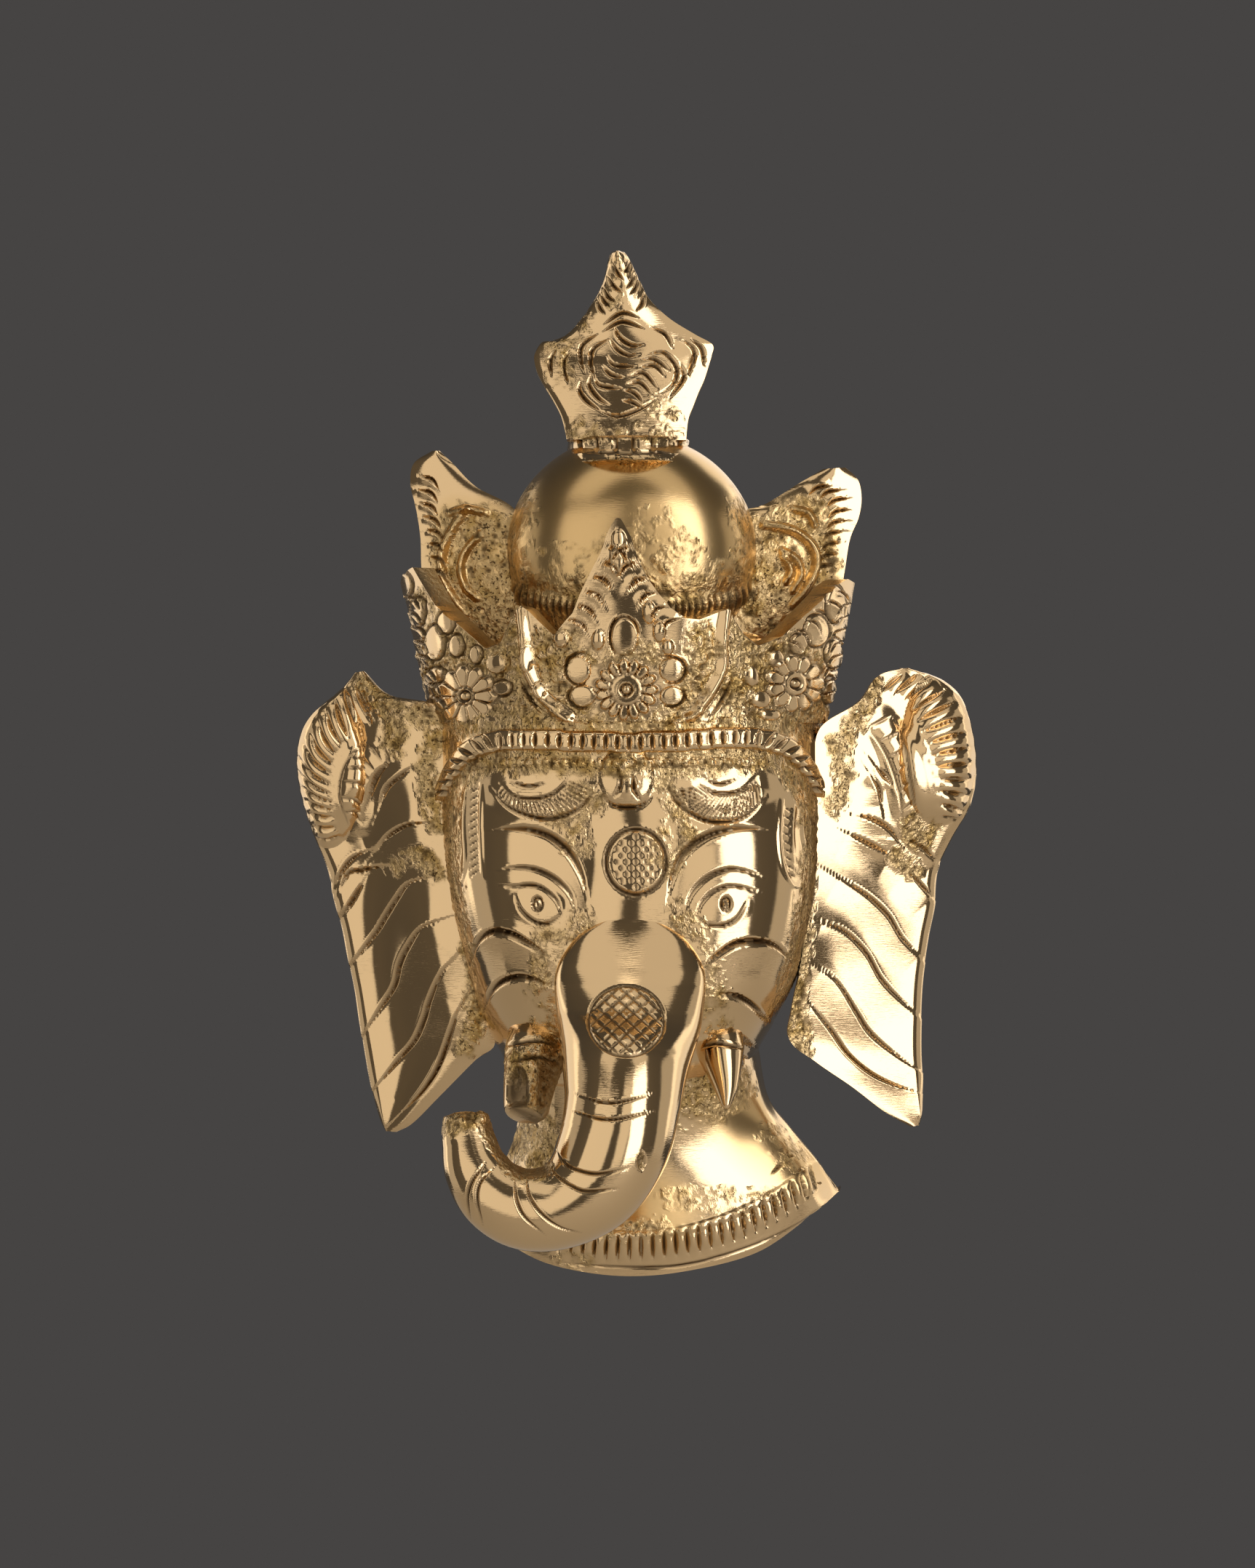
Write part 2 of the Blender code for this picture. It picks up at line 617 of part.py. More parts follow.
def bust_hollow():
    """Hollow of the bust, open at the back and under the rim."""
    front = bust_grid(WALL)
    below = Vector((0.0, 0.0, -2.0 * WALL))
    front.append([p + below for p in front[-1]])
    above = Vector((0.0, 0.0, WALL))
    front.insert(0, [p + above for p in front[0]])
    front = [[Vector((p.x, min(p.y, -0.0002), p.z)) for p in row[1:-1]] for row in front]
    back = [[Vector((p.x, 2.5 * BEHIND, p.z)) for p in row] for row in front]
    return closed_grid("bust_hollow", front, back)


def surface_at(tree, across, down):
    """Front point and outward direction of the casting seen at a place of the sheet."""
    eye = spot(EYE_ACROSS, EYE_DOWN, EYE_LIFT - 1.0)
    aim = (spot(across, down, SHEET_LIFT) - eye).normalized()
    place, normal, _, _ = tree.ray_cast(eye, aim)
    return place, normal


def rope_band(tree):
    """Notched rope round the brow: its rings rise at each tooth and sink between them."""
    rings = []
    track = curve(BAND, BAND_TEETH * 2 + 1)
    for i, (across, down) in enumerate(track):
        place, normal = surface_at(tree, across, down)
        ahead, _ = surface_at(tree, *track[min(i + 1, len(track) - 1)])
        behind, _ = surface_at(tree, *track[max(i - 1, 0)])
        along = (ahead - behind).normalized()
        side = along.cross(normal).normalized()
        rise = BAND_RISE - (NOTCH_SINK if i % 2 == 0 else 0.0)
        top = normal * (rise * LIFT)
        foot = normal * (-BAND_SINK * LIFT)
        wide = side * (BAND_HALF_WIDTH * LIFT)
        rings.append([place + foot + wide, place + top + wide * BAND_TAPER,
                      place + top - wide * BAND_TAPER, place + foot - wide])
    return loft("rope_band", rings)


def boss(name, tree, across, down, half_width, half_height, rise, petals=0):
    """Low round boss, or a flower when it has petals, standing on the casting."""
    place, normal = surface_at(tree, across, down)
    up = Vector((0.0, 0.0, 1.0))
    side = up.cross(normal).normalized()
    up = normal.cross(side).normalized()
    count = petals * 2 if petals else BOSS_SIDES
    rings = []
    for level in (-BOSS_SINK, rise):
        ring = []
        for s in range(count):
            turn = 2.0 * math.pi * s / count
            reach = PETAL_DIP if petals and s % 2 else 1.0
            ring.append(place + normal * (level * LIFT)
                        + side * (half_width * reach * math.cos(turn) * LIFT)
                        + up * (half_height * reach * math.sin(turn) * LIFT))
        rings.append(ring)
    return loft(name, rings)


def groove(name, tree, points, width, steps=LINE_STEPS):
    """Cutter of a V-shaped line that tapers towards both ends."""
    track = curve(points, steps)
    hits = [surface_at(tree, across, down) for across, down in track]
    hits = [(place, normal) for place, normal in hits if place is not None]
    rings = []
    for i, (place, normal) in enumerate(hits):
        ahead = hits[min(i + 1, len(hits) - 1)][0]
        behind = hits[max(i - 1, 0)][0]
        along = (ahead - behind).normalized()
        side = along.cross(normal).normalized()
        share = END_SHARE if steps > 2 and i in (0, len(hits) - 1) else 1.0
        depth = GROOVE_DEPTH * share
        half = 0.5 * width * LIFT * share * (depth + GROOVE_RISE) / depth
        rings.append([place - normal * depth,
                      place + normal * GROOVE_RISE + side * half,
                      place + normal * GROOVE_RISE - side * half])
    return loft(name, rings)


def fan_cuts(number, tree, inner, outer, count):
    """Row of short cuts from one curve to another."""
    starts = curve(inner, count)
    ends = curve(outer, count)
    return [groove(f"fan_{number}_{i}", tree, [tuple(starts[i]), tuple(ends[i])], FAN_WIDTH, FAN_STEPS)
            for i in range(count)]


def join(target, name, forms, operation):
    """Boolean of the target with a group of forms."""
    group = bpy.data.collections.new(name)
    bpy.context.scene.collection.children.link(group)
    for form in forms:
        group.objects.link(form)
        bpy.context.scene.collection.objects.unlink(form)
    modifier = target.modifiers.new(name, "BOOLEAN")
    modifier.operation = operation
    modifier.solver = "EXACT"
    modifier.operand_type = "COLLECTION"
    modifier.collection = group
    return modifier


def surface_tree(obj):
    """Search tree of the object's surface with the modifiers that it has so far."""
    bpy.context.view_layer.update()
    return BVHTree.FromObject(obj, bpy.context.evaluated_depsgraph_get())


def brass_finish():
    """Polished cast brass."""
    finish = bpy.data.materials.new("polished_cast_brass")
    finish.use_nodes = True
    shader = finish.node_tree.nodes["Principled BSDF"]
    shader.inputs["Base Color"].default_value = BRASS
    shader.inputs["Metallic"].default_value = 1.0
    shader.inputs["Roughness"].default_value = 0.2
    return finish


def main():
    """Join the forms, hollow the back, then raise the ornament and cut the lines."""
    clear_scene()
    mask = head_body()
    mask.name = "ganesha_mask"
    mask.hide_render = False
    mask.display_type = "TEXTURED"
    forms = [
        bust_body(),
        plate("left_ear", LEFT_EAR, EAR_ROWS, EAR_COLUMNS, EAR_CROWN, EAR_THICKNESS,
              LEFT_SHELL, EAR_EDGE_DROP),
        plate("right_ear", RIGHT_EAR, EAR_ROWS, EAR_COLUMNS, EAR_CROWN, EAR_THICKNESS,
              RIGHT_SHELL, EAR_EDGE_DROP),
        plate("left_wing", LEFT_WING, WING_ROWS, WING_COLUMNS, WING_CROWN, WING_THICKNESS),
        plate("right_wing", RIGHT_WING, WING_ROWS, WING_COLUMNS, WING_CROWN, WING_THICKNESS),
        plate("finial_plate", FINIAL, FINIAL_ROWS, FINIAL_COLUMNS, FINIAL_CROWN, FINIAL_THICKNESS),
        finial_neck(),
        round_ball("topknot_form", KNOT_RADIUS * LIFT, KNOT_LIFT * LIFT),
        tiara(),
        tube("trunk_form", TRUNK_STATIONS, TRUNK_ROWS, TRUNK_SIDES),
        tube("left_tusk", [row + (row[3],) for row in LEFT_TUSK], TUSK_ROWS, TUSK_SIDES),
        tube("right_tusk", [row + (row[3],) for row in RIGHT_TUSK], TUSK_ROWS, TUSK_SIDES),
    ]
    join(mask, "main_forms", forms, "UNION")
    hollows = [
        head_hollow(),
        bust_hollow(),
        round_ball("topknot_hollow", KNOT_RADIUS * LIFT - WALL, KNOT_LIFT * LIFT),
        box_form("throat", (-THROAT_WIDTH / 2.0, -THROAT_DEPTH, THROAT_SPAN[0] * LIFT),
                 (THROAT_WIDTH / 2.0, 2.0 * BEHIND, THROAT_SPAN[1] * LIFT)),
        box_form("wall_trim", (-HEIGHT, 0.0, -HEIGHT), (HEIGHT, HEIGHT, HEIGHT)),
    ]
    join(mask, "hollows", hollows, "DIFFERENCE")
    half_bar = math.sqrt(KNOT_RADIUS ** 2 - KNOT_LIFT ** 2) * LIFT - WALL / 2.0
    bar = box_form("hanging_bar", (-half_bar, -BAR_THICKNESS, -BAR_WIDTH / 2.0),
                   (half_bar, 0.0, BAR_WIDTH / 2.0))
    join(mask, "bar", [bar], "UNION")
    tree = surface_tree(mask)
    raised = [rope_band(tree)]
    for i, (across, down, reach, petals) in enumerate(FLOWERS):
        raised.append(boss(f"flower_{i}", tree, across, down, reach, reach, FLOWER_RISE, petals))
    for i, sizes in enumerate(BOSSES):
        raised.append(boss(f"boss_{i}", tree, *sizes))
    join(mask, "ornament", raised, "UNION")
    tree = surface_tree(mask)
    cuts = [groove(f"brow_{i}", tree, line, BROW_WIDTH) for i, line in enumerate(BROW_LINES)]
    for i, line in enumerate(FACE_LINES + EAR_LINES + TRUNK_LINES):
        cuts.append(groove(f"line_{i}", tree, line, LINE_WIDTH))
    for i, fan in enumerate(FANS):
        cuts += fan_cuts(i, tree, *fan)
    join(mask, "cut_lines", cuts, "DIFFERENCE")
    mask.data.materials.append(brass_finish())
    mask.data.shade_smooth()


main()
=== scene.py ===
# %% [markdown]
# # A cast brass elephant mask for a wall
# The mask is one brass casting: a head with a curled trunk, two fan ears, a leafed tiara, a round
# topknot, a finial plate and a small bust. The foundry left the low places rough and yellow-brown,
# then somebody filed and buffed the high places to a mirror and cut the lines with a chisel.
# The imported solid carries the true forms. Here each form is made again as a fine grid of points,
# and the grid is carved, because a carved mirror needs real relief to catch the light.

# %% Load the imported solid
import math

import bpy
import numpy as np
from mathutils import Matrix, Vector


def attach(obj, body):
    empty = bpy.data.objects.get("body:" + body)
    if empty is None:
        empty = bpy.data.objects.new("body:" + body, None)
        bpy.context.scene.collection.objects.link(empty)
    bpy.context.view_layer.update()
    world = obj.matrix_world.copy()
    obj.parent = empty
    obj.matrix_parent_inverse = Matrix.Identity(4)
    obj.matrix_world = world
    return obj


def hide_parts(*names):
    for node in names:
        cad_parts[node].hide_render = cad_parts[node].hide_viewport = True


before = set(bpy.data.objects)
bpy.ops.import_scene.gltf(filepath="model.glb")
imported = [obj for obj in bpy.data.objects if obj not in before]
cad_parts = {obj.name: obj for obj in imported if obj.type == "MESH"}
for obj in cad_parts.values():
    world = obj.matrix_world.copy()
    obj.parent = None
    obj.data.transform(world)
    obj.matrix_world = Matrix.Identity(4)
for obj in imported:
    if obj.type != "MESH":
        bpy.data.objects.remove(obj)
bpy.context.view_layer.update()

MM = 0.001             # metres in a millimetre

# %% [markdown]
# ## A sheet to draw on
# A free form is easiest to draw where it is seen, so every outline and stroke below is given on a
# sheet: across and down, in pixels of a frame of 1725 by 2156, as the eye in front of the mask
# sees them. A lift in millimetres says how far a point stands off the wall. One function turns
# the three numbers into a place in space, and another one goes back. A mesh could be drawn in
# plain millimetres too, but then each stroke would have to be corrected by hand for the eye.

# %% Sheet and space
SHEET = 7.0            # pixels to a millimetre at the sheet's own lift
SHEET_LIFT = 10.0
EYE_LIFT = 908.0
EYE_ACROSS, EYE_DOWN = 862.5, 1078.0
ORIGIN_ACROSS, ORIGIN_DOWN = 868.0, 760.0


def spot(across, down, lift):
    """Place in millimetres of what the eye sees at a place of the sheet, at a lift."""
    shrink = (EYE_LIFT - lift) / (EYE_LIFT - SHEET_LIFT)
    x = ((across - EYE_ACROSS) * shrink + EYE_ACROSS - ORIGIN_ACROSS) / SHEET
    z = ((EYE_DOWN - down) * shrink + ORIGIN_DOWN - EYE_DOWN) / SHEET
    return np.stack([x, -lift + 0.0 * x, z], axis=-1)


def sheet_place(points):
    """Where the eye sees points, as across and down on the sheet."""
    shrink = (EYE_LIFT + points[..., 1]) / (EYE_LIFT - SHEET_LIFT)
    across = (points[..., 0] * SHEET - EYE_ACROSS + ORIGIN_ACROSS) / shrink + EYE_ACROSS
    down = EYE_DOWN - (points[..., 2] * SHEET + EYE_DOWN - ORIGIN_DOWN) / shrink
    return across, down


def curve(points, count):
    """Rows evenly spaced along a smooth curve through the rows of points."""
    rows = np.array(points, float)
    padded = np.vstack([2 * rows[0] - rows[1], rows, 2 * rows[-1] - rows[-2]])
    steps = np.linspace(0.0, len(rows) - 1.0001, max(count, 16 * len(rows)))
    i = steps.astype(int)
    t = (steps - i)[:, None]
    a, b, c, d = padded[i], padded[i + 1], padded[i + 2], padded[i + 3]
    fine = 0.5 * (2 * b + (c - a) * t + (2 * a - 5 * b + 4 * c - d) * t * t
                  + (3 * b - a - 3 * c + d) * t ** 3)
    run = np.concatenate([[0.0], np.cumsum(np.linalg.norm(np.diff(fine, axis=0), axis=1))])
    places = np.linspace(0.0, run[-1], count)
    return np.stack([np.interp(places, run, column) for column in fine.T], axis=1)


print("the middle of the sheet lies at", np.round(spot(EYE_ACROSS, EYE_DOWN, SHEET_LIFT), 2), "mm")

# %% [markdown]
# ## Noise for a casting
# Sand leaves a pebbled skin, and a buffing wheel leaves a surface that is nowhere quite flat.
# Both are smooth random bumps of a known size. A small block of random numbers, read between its
# corners, gives them for any point, and the same points always give the same bumps.

# %% Bumps of one size
BLOCK = 32
BLOCK_START = 512.37   # any value that isn't whole, so that no bump is centred on the mask's middle
GRAIN_BLOCK = np.random.default_rng(11).uniform(-1.0, 1.0, (BLOCK, BLOCK, BLOCK))


def grain(points, size, shift=0.0):
    """Smooth bumps from -1 to 1 at points in millimetres, each bump about one size across."""
    place = points / size + BLOCK_START + shift
    cell = np.floor(place).astype(int)
    t = place - cell
    t = t * t * (3.0 - 2.0 * t)
    total = np.zeros(points.shape[:-1])
    for i in (0, 1):
        for j in (0, 1):
            for k in (0, 1):
                weight = ((t[..., 0] if i else 1.0 - t[..., 0])
                          * (t[..., 1] if j else 1.0 - t[..., 1])
                          * (t[..., 2] if k else 1.0 - t[..., 2]))
                corner = (cell + (i, j, k)) % BLOCK
                total += weight * GRAIN_BLOCK[corner[..., 0], corner[..., 1], corner[..., 2]]
    return total


# %% [markdown]
# ## A skin that can be carved
# A skin is the outer face of one form: a grid of points, the direction out of the metal at each
# point, and where the eye sees it on the sheet. Carving never moves a point sideways. It only
# adds to a height along that direction, so strokes may cross without tearing the mesh. Three
# marks go with each point: a dark mark for the brown wax left in a cut, which in a few places also
# carries painted shade, cast for raw foundry skin and satin for metal that was only brushed. The
# finish reads them later.

# %% The skin
class Skin:
    """Grid of points in millimetres with a height to carve and marks for the finish."""

    def __init__(self, points):
        self.points = points
        normals = np.cross(np.gradient(points, axis=1), np.gradient(points, axis=0))
        normals /= np.linalg.norm(normals, axis=-1, keepdims=True) + 1e-9
        front = np.unravel_index(np.argmin(points[..., 1]), points.shape[:2])
        self.normals = -normals if normals[front][1] > 0.0 else normals
        self.across, self.down = sheet_place(points)
        eye = spot(EYE_ACROSS, EYE_DOWN, EYE_LIFT)
        self.seen = np.sum(self.normals * (eye - points), axis=-1) > 0.0
        self.height, self.cuts, self.dirt, self.cast, self.satin = np.zeros((5, *points.shape[:2]))

    def carved(self):
        """The points after carving, none of them behind the wall plane."""
        made = self.points + self.normals * (self.height - self.cuts)[..., None]
        made[..., 1] = np.minimum(made[..., 1], 0.0)
        return made


def near_line(skin, line, reach):
    """Grid places within reach of a line: where, how far, share along it and which side."""
    track = curve(line, 6 * len(line)) if len(line) > 2 else np.array(line, float)
    low = track.min(axis=0) - reach
    high = track.max(axis=0) + reach
    at = np.nonzero(skin.seen & (skin.across > low[0]) & (skin.across < high[0])
                    & (skin.down > low[1]) & (skin.down < high[1]))
    here = np.stack([skin.across[at], skin.down[at]], axis=-1)
    off = np.full(len(here), np.inf)
    share = np.zeros(len(here))
    side = np.zeros(len(here))
    for i in range(len(track) - 1):
        step = track[i + 1] - track[i]
        t = np.clip((here - track[i]) @ step / (step @ step + 1e-9), 0.0, 1.0)
        gap = here - track[i] - t[:, None] * step
        far = np.hypot(gap[:, 0], gap[:, 1])
        closer = far < off
        off[closer] = far[closer]
        share[closer] = (i + t[closer]) / (len(track) - 1)
        side[closer] = np.sign(step[0] * gap[closer, 1] - step[1] * gap[closer, 0])
    keep = off < reach
    return (at[0][keep], at[1][keep]), off[keep], share[keep], side[keep]


def thin_ends(share, power):
    """One in the middle of a stroke and less towards both its ends; a power of 0 is one all along."""
    return np.sin(np.pi * np.clip(share, 0.03, 0.97)) ** power


# %% [markdown]
# ## The chisel's strokes
# A cut line is a V that gets thin at both ends, with a little burr pushed up beside it. A ridge
# is a rounded bar, a fold is a step that falls off sharply on one side only, and a boss is a
# low rounded button. They are four things that a chaser does with punches, and nearly all of the
# mask's carving is made of them.

# %% Cuts, ridges, folds and bosses
BURR = 0.10


def cut(skin, lines, width, depth, power=0.5, dark=1.0):
    """Chiselled lines. The width is in sheet pixels and the depth in millimetres."""
    for line in lines:
        at, off, share, _ = near_line(skin, line, 1.3 * width)
        thin = thin_ends(share, power)
        half = 0.5 * width * np.maximum(thin, 0.25)
        wall = np.clip(1.0 - off / half, 0.0, 1.0)
        skin.cuts[at] = np.maximum(skin.cuts[at], depth * thin * wall ** 0.8)
        skin.dirt[at] = np.maximum(skin.dirt[at], dark * thin * np.clip(1.25 * wall, 0.0, 1.0))
        burr = np.exp(-((off / half - 1.35) / 0.28) ** 2)
        skin.height[at] += BURR * depth * thin * burr


def ridge(skin, lines, width, rise, power=0.4):
    """Rounded bars that stand up from the skin."""
    for line in lines:
        at, off, share, _ = near_line(skin, line, 0.5 * width)
        skin.height[at] += rise * thin_ends(share, power) * np.cos(np.pi * off / width) ** 1.5


def fold(skin, lines, reach, rise, side_up=1.0):
    """Steps: the skin rises towards the line on one side of it and falls sharply there."""
    for line in lines:
        at, off, share, side = near_line(skin, line, reach)
        slope = (1.0 - off / reach) ** 1.5 * (side == side_up)
        skin.height[at] += rise * thin_ends(share, 0.5) * slope


def oval_reach(skin, across, down, half_wide, half_high):
    """How far each grid place lies from an oval's middle: 0 there and 1 on the oval."""
    return ((skin.across - across) / half_wide) ** 2 + ((skin.down - down) / half_high) ** 2


def boss(skin, across, down, half_wide, half_high, rise, power=0.5):
    """Low rounded button."""
    reach = oval_reach(skin, across, down, half_wide, half_high)
    skin.height += rise * np.where(skin.seen, np.clip(1.0 - reach, 0.0, 1.0) ** power, 0.0)


def oval(across, down, half_wide, half_high, count=24):
    """Closed line round an oval."""
    turns = np.linspace(0.0, 2.0 * np.pi, count + 1)
    return [(across + half_wide * math.cos(t), down + half_high * math.sin(t)) for t in turns]


def between(inner, outer, count, lean=0.0):
    """Short strokes from one line to another."""
    starts = curve(inner, count)
    ends = curve(outer, count)
    shifted = np.clip(np.arange(count) + lean, 0, count - 1)
    ends = np.stack([np.interp(shifted, np.arange(count), column) for column in ends.T], axis=1)
    return [[tuple(a), tuple(b)] for a, b in zip(starts, ends)]


def midway(first, second):
    """Line halfway between two lines with the same number of points."""
    return [tuple(0.5 * (np.array(a) + b)) for a, b in zip(first, second)]


def humps(strokes):
    """Lines that run between neighbouring strokes, where the metal stands up."""
    return [midway(first, second) for first, second in zip(strokes[:-1], strokes[1:])]


def crescents(edge, count, across, down, bow=4.0):
    """Bowed strokes that start along an edge and all run the same way, like the barbs of a leaf."""
    lean = math.copysign(bow, across)
    return [[(x, y), (x + 0.5 * across + lean, y + 0.5 * down - bow), (x + across, y + down)]
            for x, y in curve(edge, count)]


def smear(skin, lines, reach, field="cast", amount=1.0):
    """Mark the skin along lines, strongest on the line and gone at the reach."""
    marks = getattr(skin, field)
    for line in lines:
        at, off, _, _ = near_line(skin, line, reach)
        marks[at] = np.maximum(marks[at], amount * np.clip(1.6 * (1.0 - off / reach), 0.0, 1.0))


def buff(skin, lines, reach, left):
    """Rub the raw casting off along lines, all but the share that is left."""
    for line in lines:
        at, _, _, _ = near_line(skin, line, reach)
        skin.cast[at] *= left


UNEVEN = 0.045         # millimetres that a buffed face rises and falls
TOP_CLEANED = 0.8      # share of the raw skin that the wheel takes off the pebbles' tops


def cast_skin(skin, rough=0.20):
    """Give the marked places the pebbled foundry skin, and the rest a slight unevenness."""
    torn = 0.55 * grain(skin.points, 1.8) + 0.35 * grain(skin.points, 0.8, 5.0)
    ragged = np.clip(skin.cast + torn * (skin.cast > 0.02) * (skin.cast < 0.98), 0.0, 1.0)
    skin.cast = ragged * ragged * (3.0 - 2.0 * ragged)
    pebbles = (0.6 * grain(skin.points, 2.4, 2.0) + grain(skin.points, 1.1)
               + 0.8 * grain(skin.points, 0.6, 9.0))
    skin.height += rough * skin.cast * (pebbles - 0.3)
    skin.dirt = np.maximum(skin.dirt, skin.cast * np.clip(-0.9 * pebbles - 0.25, 0.0, 0.75))
    skin.cast *= 1.0 - TOP_CLEANED * np.clip(2.5 * pebbles - 1.0, 0.0, 1.0)
    skin.height += UNEVEN * grain(skin.points, 8.0, 3.0) * (1.0 - skin.cast)


# %% [markdown]
# ## From skins to closed metal
# Each form becomes a closed body: the carved skin in front, a plainer wall behind it and a rim
# that joins them. The wall behind needs far fewer points, so it takes only every fourth one, also
# inside the ball of the topknot, and a rim face has more corners on its fine side. Blender could
# thicken the skin with a Solidify modifier, but that would spend as many faces on the hidden side
# as on the carved one.

# %% Closed bodies
EVERY = 4
SHARP_DEGREES = 50.0
PIECES = []


def add_piece(name, points, faces, marks, raw_faces=(0, 0)):
    """Mesh object from points in millimetres. A run of its faces may take the raw finish."""
    mesh = bpy.data.meshes.new(name)
    mesh.from_pydata((points * MM).tolist(), [], faces)
    for field, values in marks.items():
        mesh.attributes.new(field, "FLOAT", "POINT").data.foreach_set("value", values)
    mesh.update()
    mesh.calc_loop_triangles()
    corners = np.zeros(len(mesh.loop_triangles) * 3, int)
    mesh.loop_triangles.foreach_get("vertices", corners)
    a, b, c = points[corners.reshape(-1, 3)].transpose(1, 0, 2)
    if np.sum(a * np.cross(b, c)) < 0.0:
        mesh.flip_normals()
    mesh.shade_smooth()
    mesh.set_sharp_from_angle(angle=math.radians(SHARP_DEGREES))
    slots = np.zeros(len(faces), int)
    slots[raw_faces[0]:raw_faces[1]] = 1
    mesh.polygons.foreach_set("material_index", slots)
    piece = bpy.data.objects.new(name, mesh)
    bpy.context.scene.collection.objects.link(piece)
    PIECES.append(piece)
    print(f"{name}: {len(mesh.loop_triangles)} triangles")


def grid_faces(rows, columns, first, wrap=False):
    """Four-cornered faces over a grid of points."""
    across = columns if wrap else columns - 1
    r, c = np.meshgrid(np.arange(rows - 1), np.arange(across), indexing="ij")
    here = first + r * columns + c
    beside = first + r * columns + (c + 1) % columns
    return np.stack([here, beside, beside + columns, here + columns], axis=-1).reshape(-1, 4)


BEHIND = {"dirt": 0.25, "cast": 0.6, "satin": 1.0}


def marks_of(skin, extra=0):
    """The skin's marks, with those of raw foundry skin for the extra points behind it."""
    return {field: np.concatenate([getattr(skin, field).ravel(), np.full(extra, mark)])
            for field, mark in BEHIND.items()}


def thinned(count):
    """Every fourth place of a row, always with its last one."""
    return list(range(0, count - 1, EVERY)) + [count - 1]


def add_shell(name, skin, behind, fine, coarse, rim):
    """Piece from the faces of a skin, of the wall behind it and of the rim between them."""
    points = np.vstack([skin.carved().reshape(-1, 3), behind.reshape(-1, 3)])
    marks = marks_of(skin, behind.shape[0] * behind.shape[1])
    add_piece(name, points, fine + coarse + rim, marks, (len(fine), len(fine) + len(coarse)))


def shell(name, skin, back):
    """Closed body from a carved skin and the wall behind it, given on the same grid."""
    rows, columns = skin.points.shape[:2]
    keep_rows, keep_columns = thinned(rows), thinned(columns)
    behind = back[np.ix_(keep_rows, keep_columns)]
    fine = grid_faces(rows, columns, 0).tolist()
    first = rows * columns
    wide = len(keep_columns)
    coarse = grid_faces(len(keep_rows), wide, first)[:, ::-1].tolist()
    last = (rows - 1) * columns
    low = first + (len(keep_rows) - 1) * wide
    rim = []
    for i in range(wide - 1):
        run = range(keep_columns[i], keep_columns[i + 1] + 1)
        rim.append(list(reversed(run)) + [first + i, first + i + 1])
        rim.append([last + c for c in run] + [low + i + 1, low + i])
    for i in range(len(keep_rows) - 1):
        run = range(keep_rows[i], keep_rows[i + 1] + 1)
        rim.append([r * columns for r in run] + [first + (i + 1) * wide, first + i * wide])
        rim.append([r * columns + columns - 1 for r in reversed(run)]
                   + [first + i * wide + wide - 1, first + (i + 1) * wide + wide - 1])
    add_shell(name, skin, behind, fine, coarse, rim)


def cup(name, skin, back):
    """Closed body from a skin whose rows run round an axis, and the wall inside it."""
    rows, columns = skin.points.shape[:2]
    keep_rows = thinned(rows)
    behind = back[np.ix_(keep_rows, range(0, columns, EVERY))]
    wide = behind.shape[1]
    fine = grid_faces(rows, columns, 0, wrap=True).tolist()
    first = rows * columns
    coarse = grid_faces(len(keep_rows), wide, first, wrap=True)[:, ::-1].tolist()
    fine.append(list(reversed(range(columns))))
    coarse.append([first + c for c in range(wide)])
    last = (rows - 1) * columns
    low = first + (len(keep_rows) - 1) * wide
    rim = []
    for i in range(wide):
        run = [last + (EVERY * i + k) % columns for k in range(EVERY + 1)]
        rim.append(run + [low + (i + 1) % wide, low + i])
    add_shell(name, skin, behind, fine, coarse, rim)


def rod(name, skin):
    """Closed body from a skin that runs round a bar, with both ends closed."""
    rows, columns = skin.points.shape[:2]
    faces = grid_faces(rows, columns, 0, wrap=True).tolist()
    faces.append(list(reversed(range(columns))))
    faces.append([(rows - 1) * columns + c for c in range(columns)])
    add_piece(name, skin.carved().reshape(-1, 3), faces, marks_of(skin))


# %% [markdown]
# ## The head
# The head is a squared half-round that is widest under the tiara and narrows to the jaw. Its
# sections are superellipses: a power of 2 would be round, and 3 gives the flat brow that turns
# quickly to the flanks. The columns crowd together in front, where the carving is.

# %% Head form
WALL = 5.0
HEAD_LEVELS = [   # z, left side, right side, front, squareness
    (-17.0, -30.0, 29.5, 30.0, 2.2), (-22.0, -36.0, 35.5, 40.0, 2.3), (-32.0, -38.4, 37.4, 44.0, 2.4),
    (-42.0, -38.2, 37.4, 43.5, 2.6), (-55.0, -37.6, 37.2, 43.5, 3.0), (-68.0, -35.8, 36.0, 43.5, 3.2),
    (-82.0, -32.3, 32.8, 42.5, 3.2), (-90.0, -30.2, 29.2, 40.5, 3.0), (-97.0, -26.6, 25.4, 37.0, 2.8),
    (-103.0, -23.0, 22.2, 31.0, 2.5)]
HEAD_SHAPE = curve(HEAD_LEVELS, 160)[::-1]
HEAD_TOP, HEAD_FOOT = -17.0, -103.0
CLOSING_ROWS, BODY_ROWS, JAW_ROWS = 8, 250, 6
HEAD_COLUMNS = 330
FLANK_SHARE = 0.3      # columns on the flanks for each one in front
HOLLOW_TOP, HOLLOW_FOOT = -25.0, -98.0


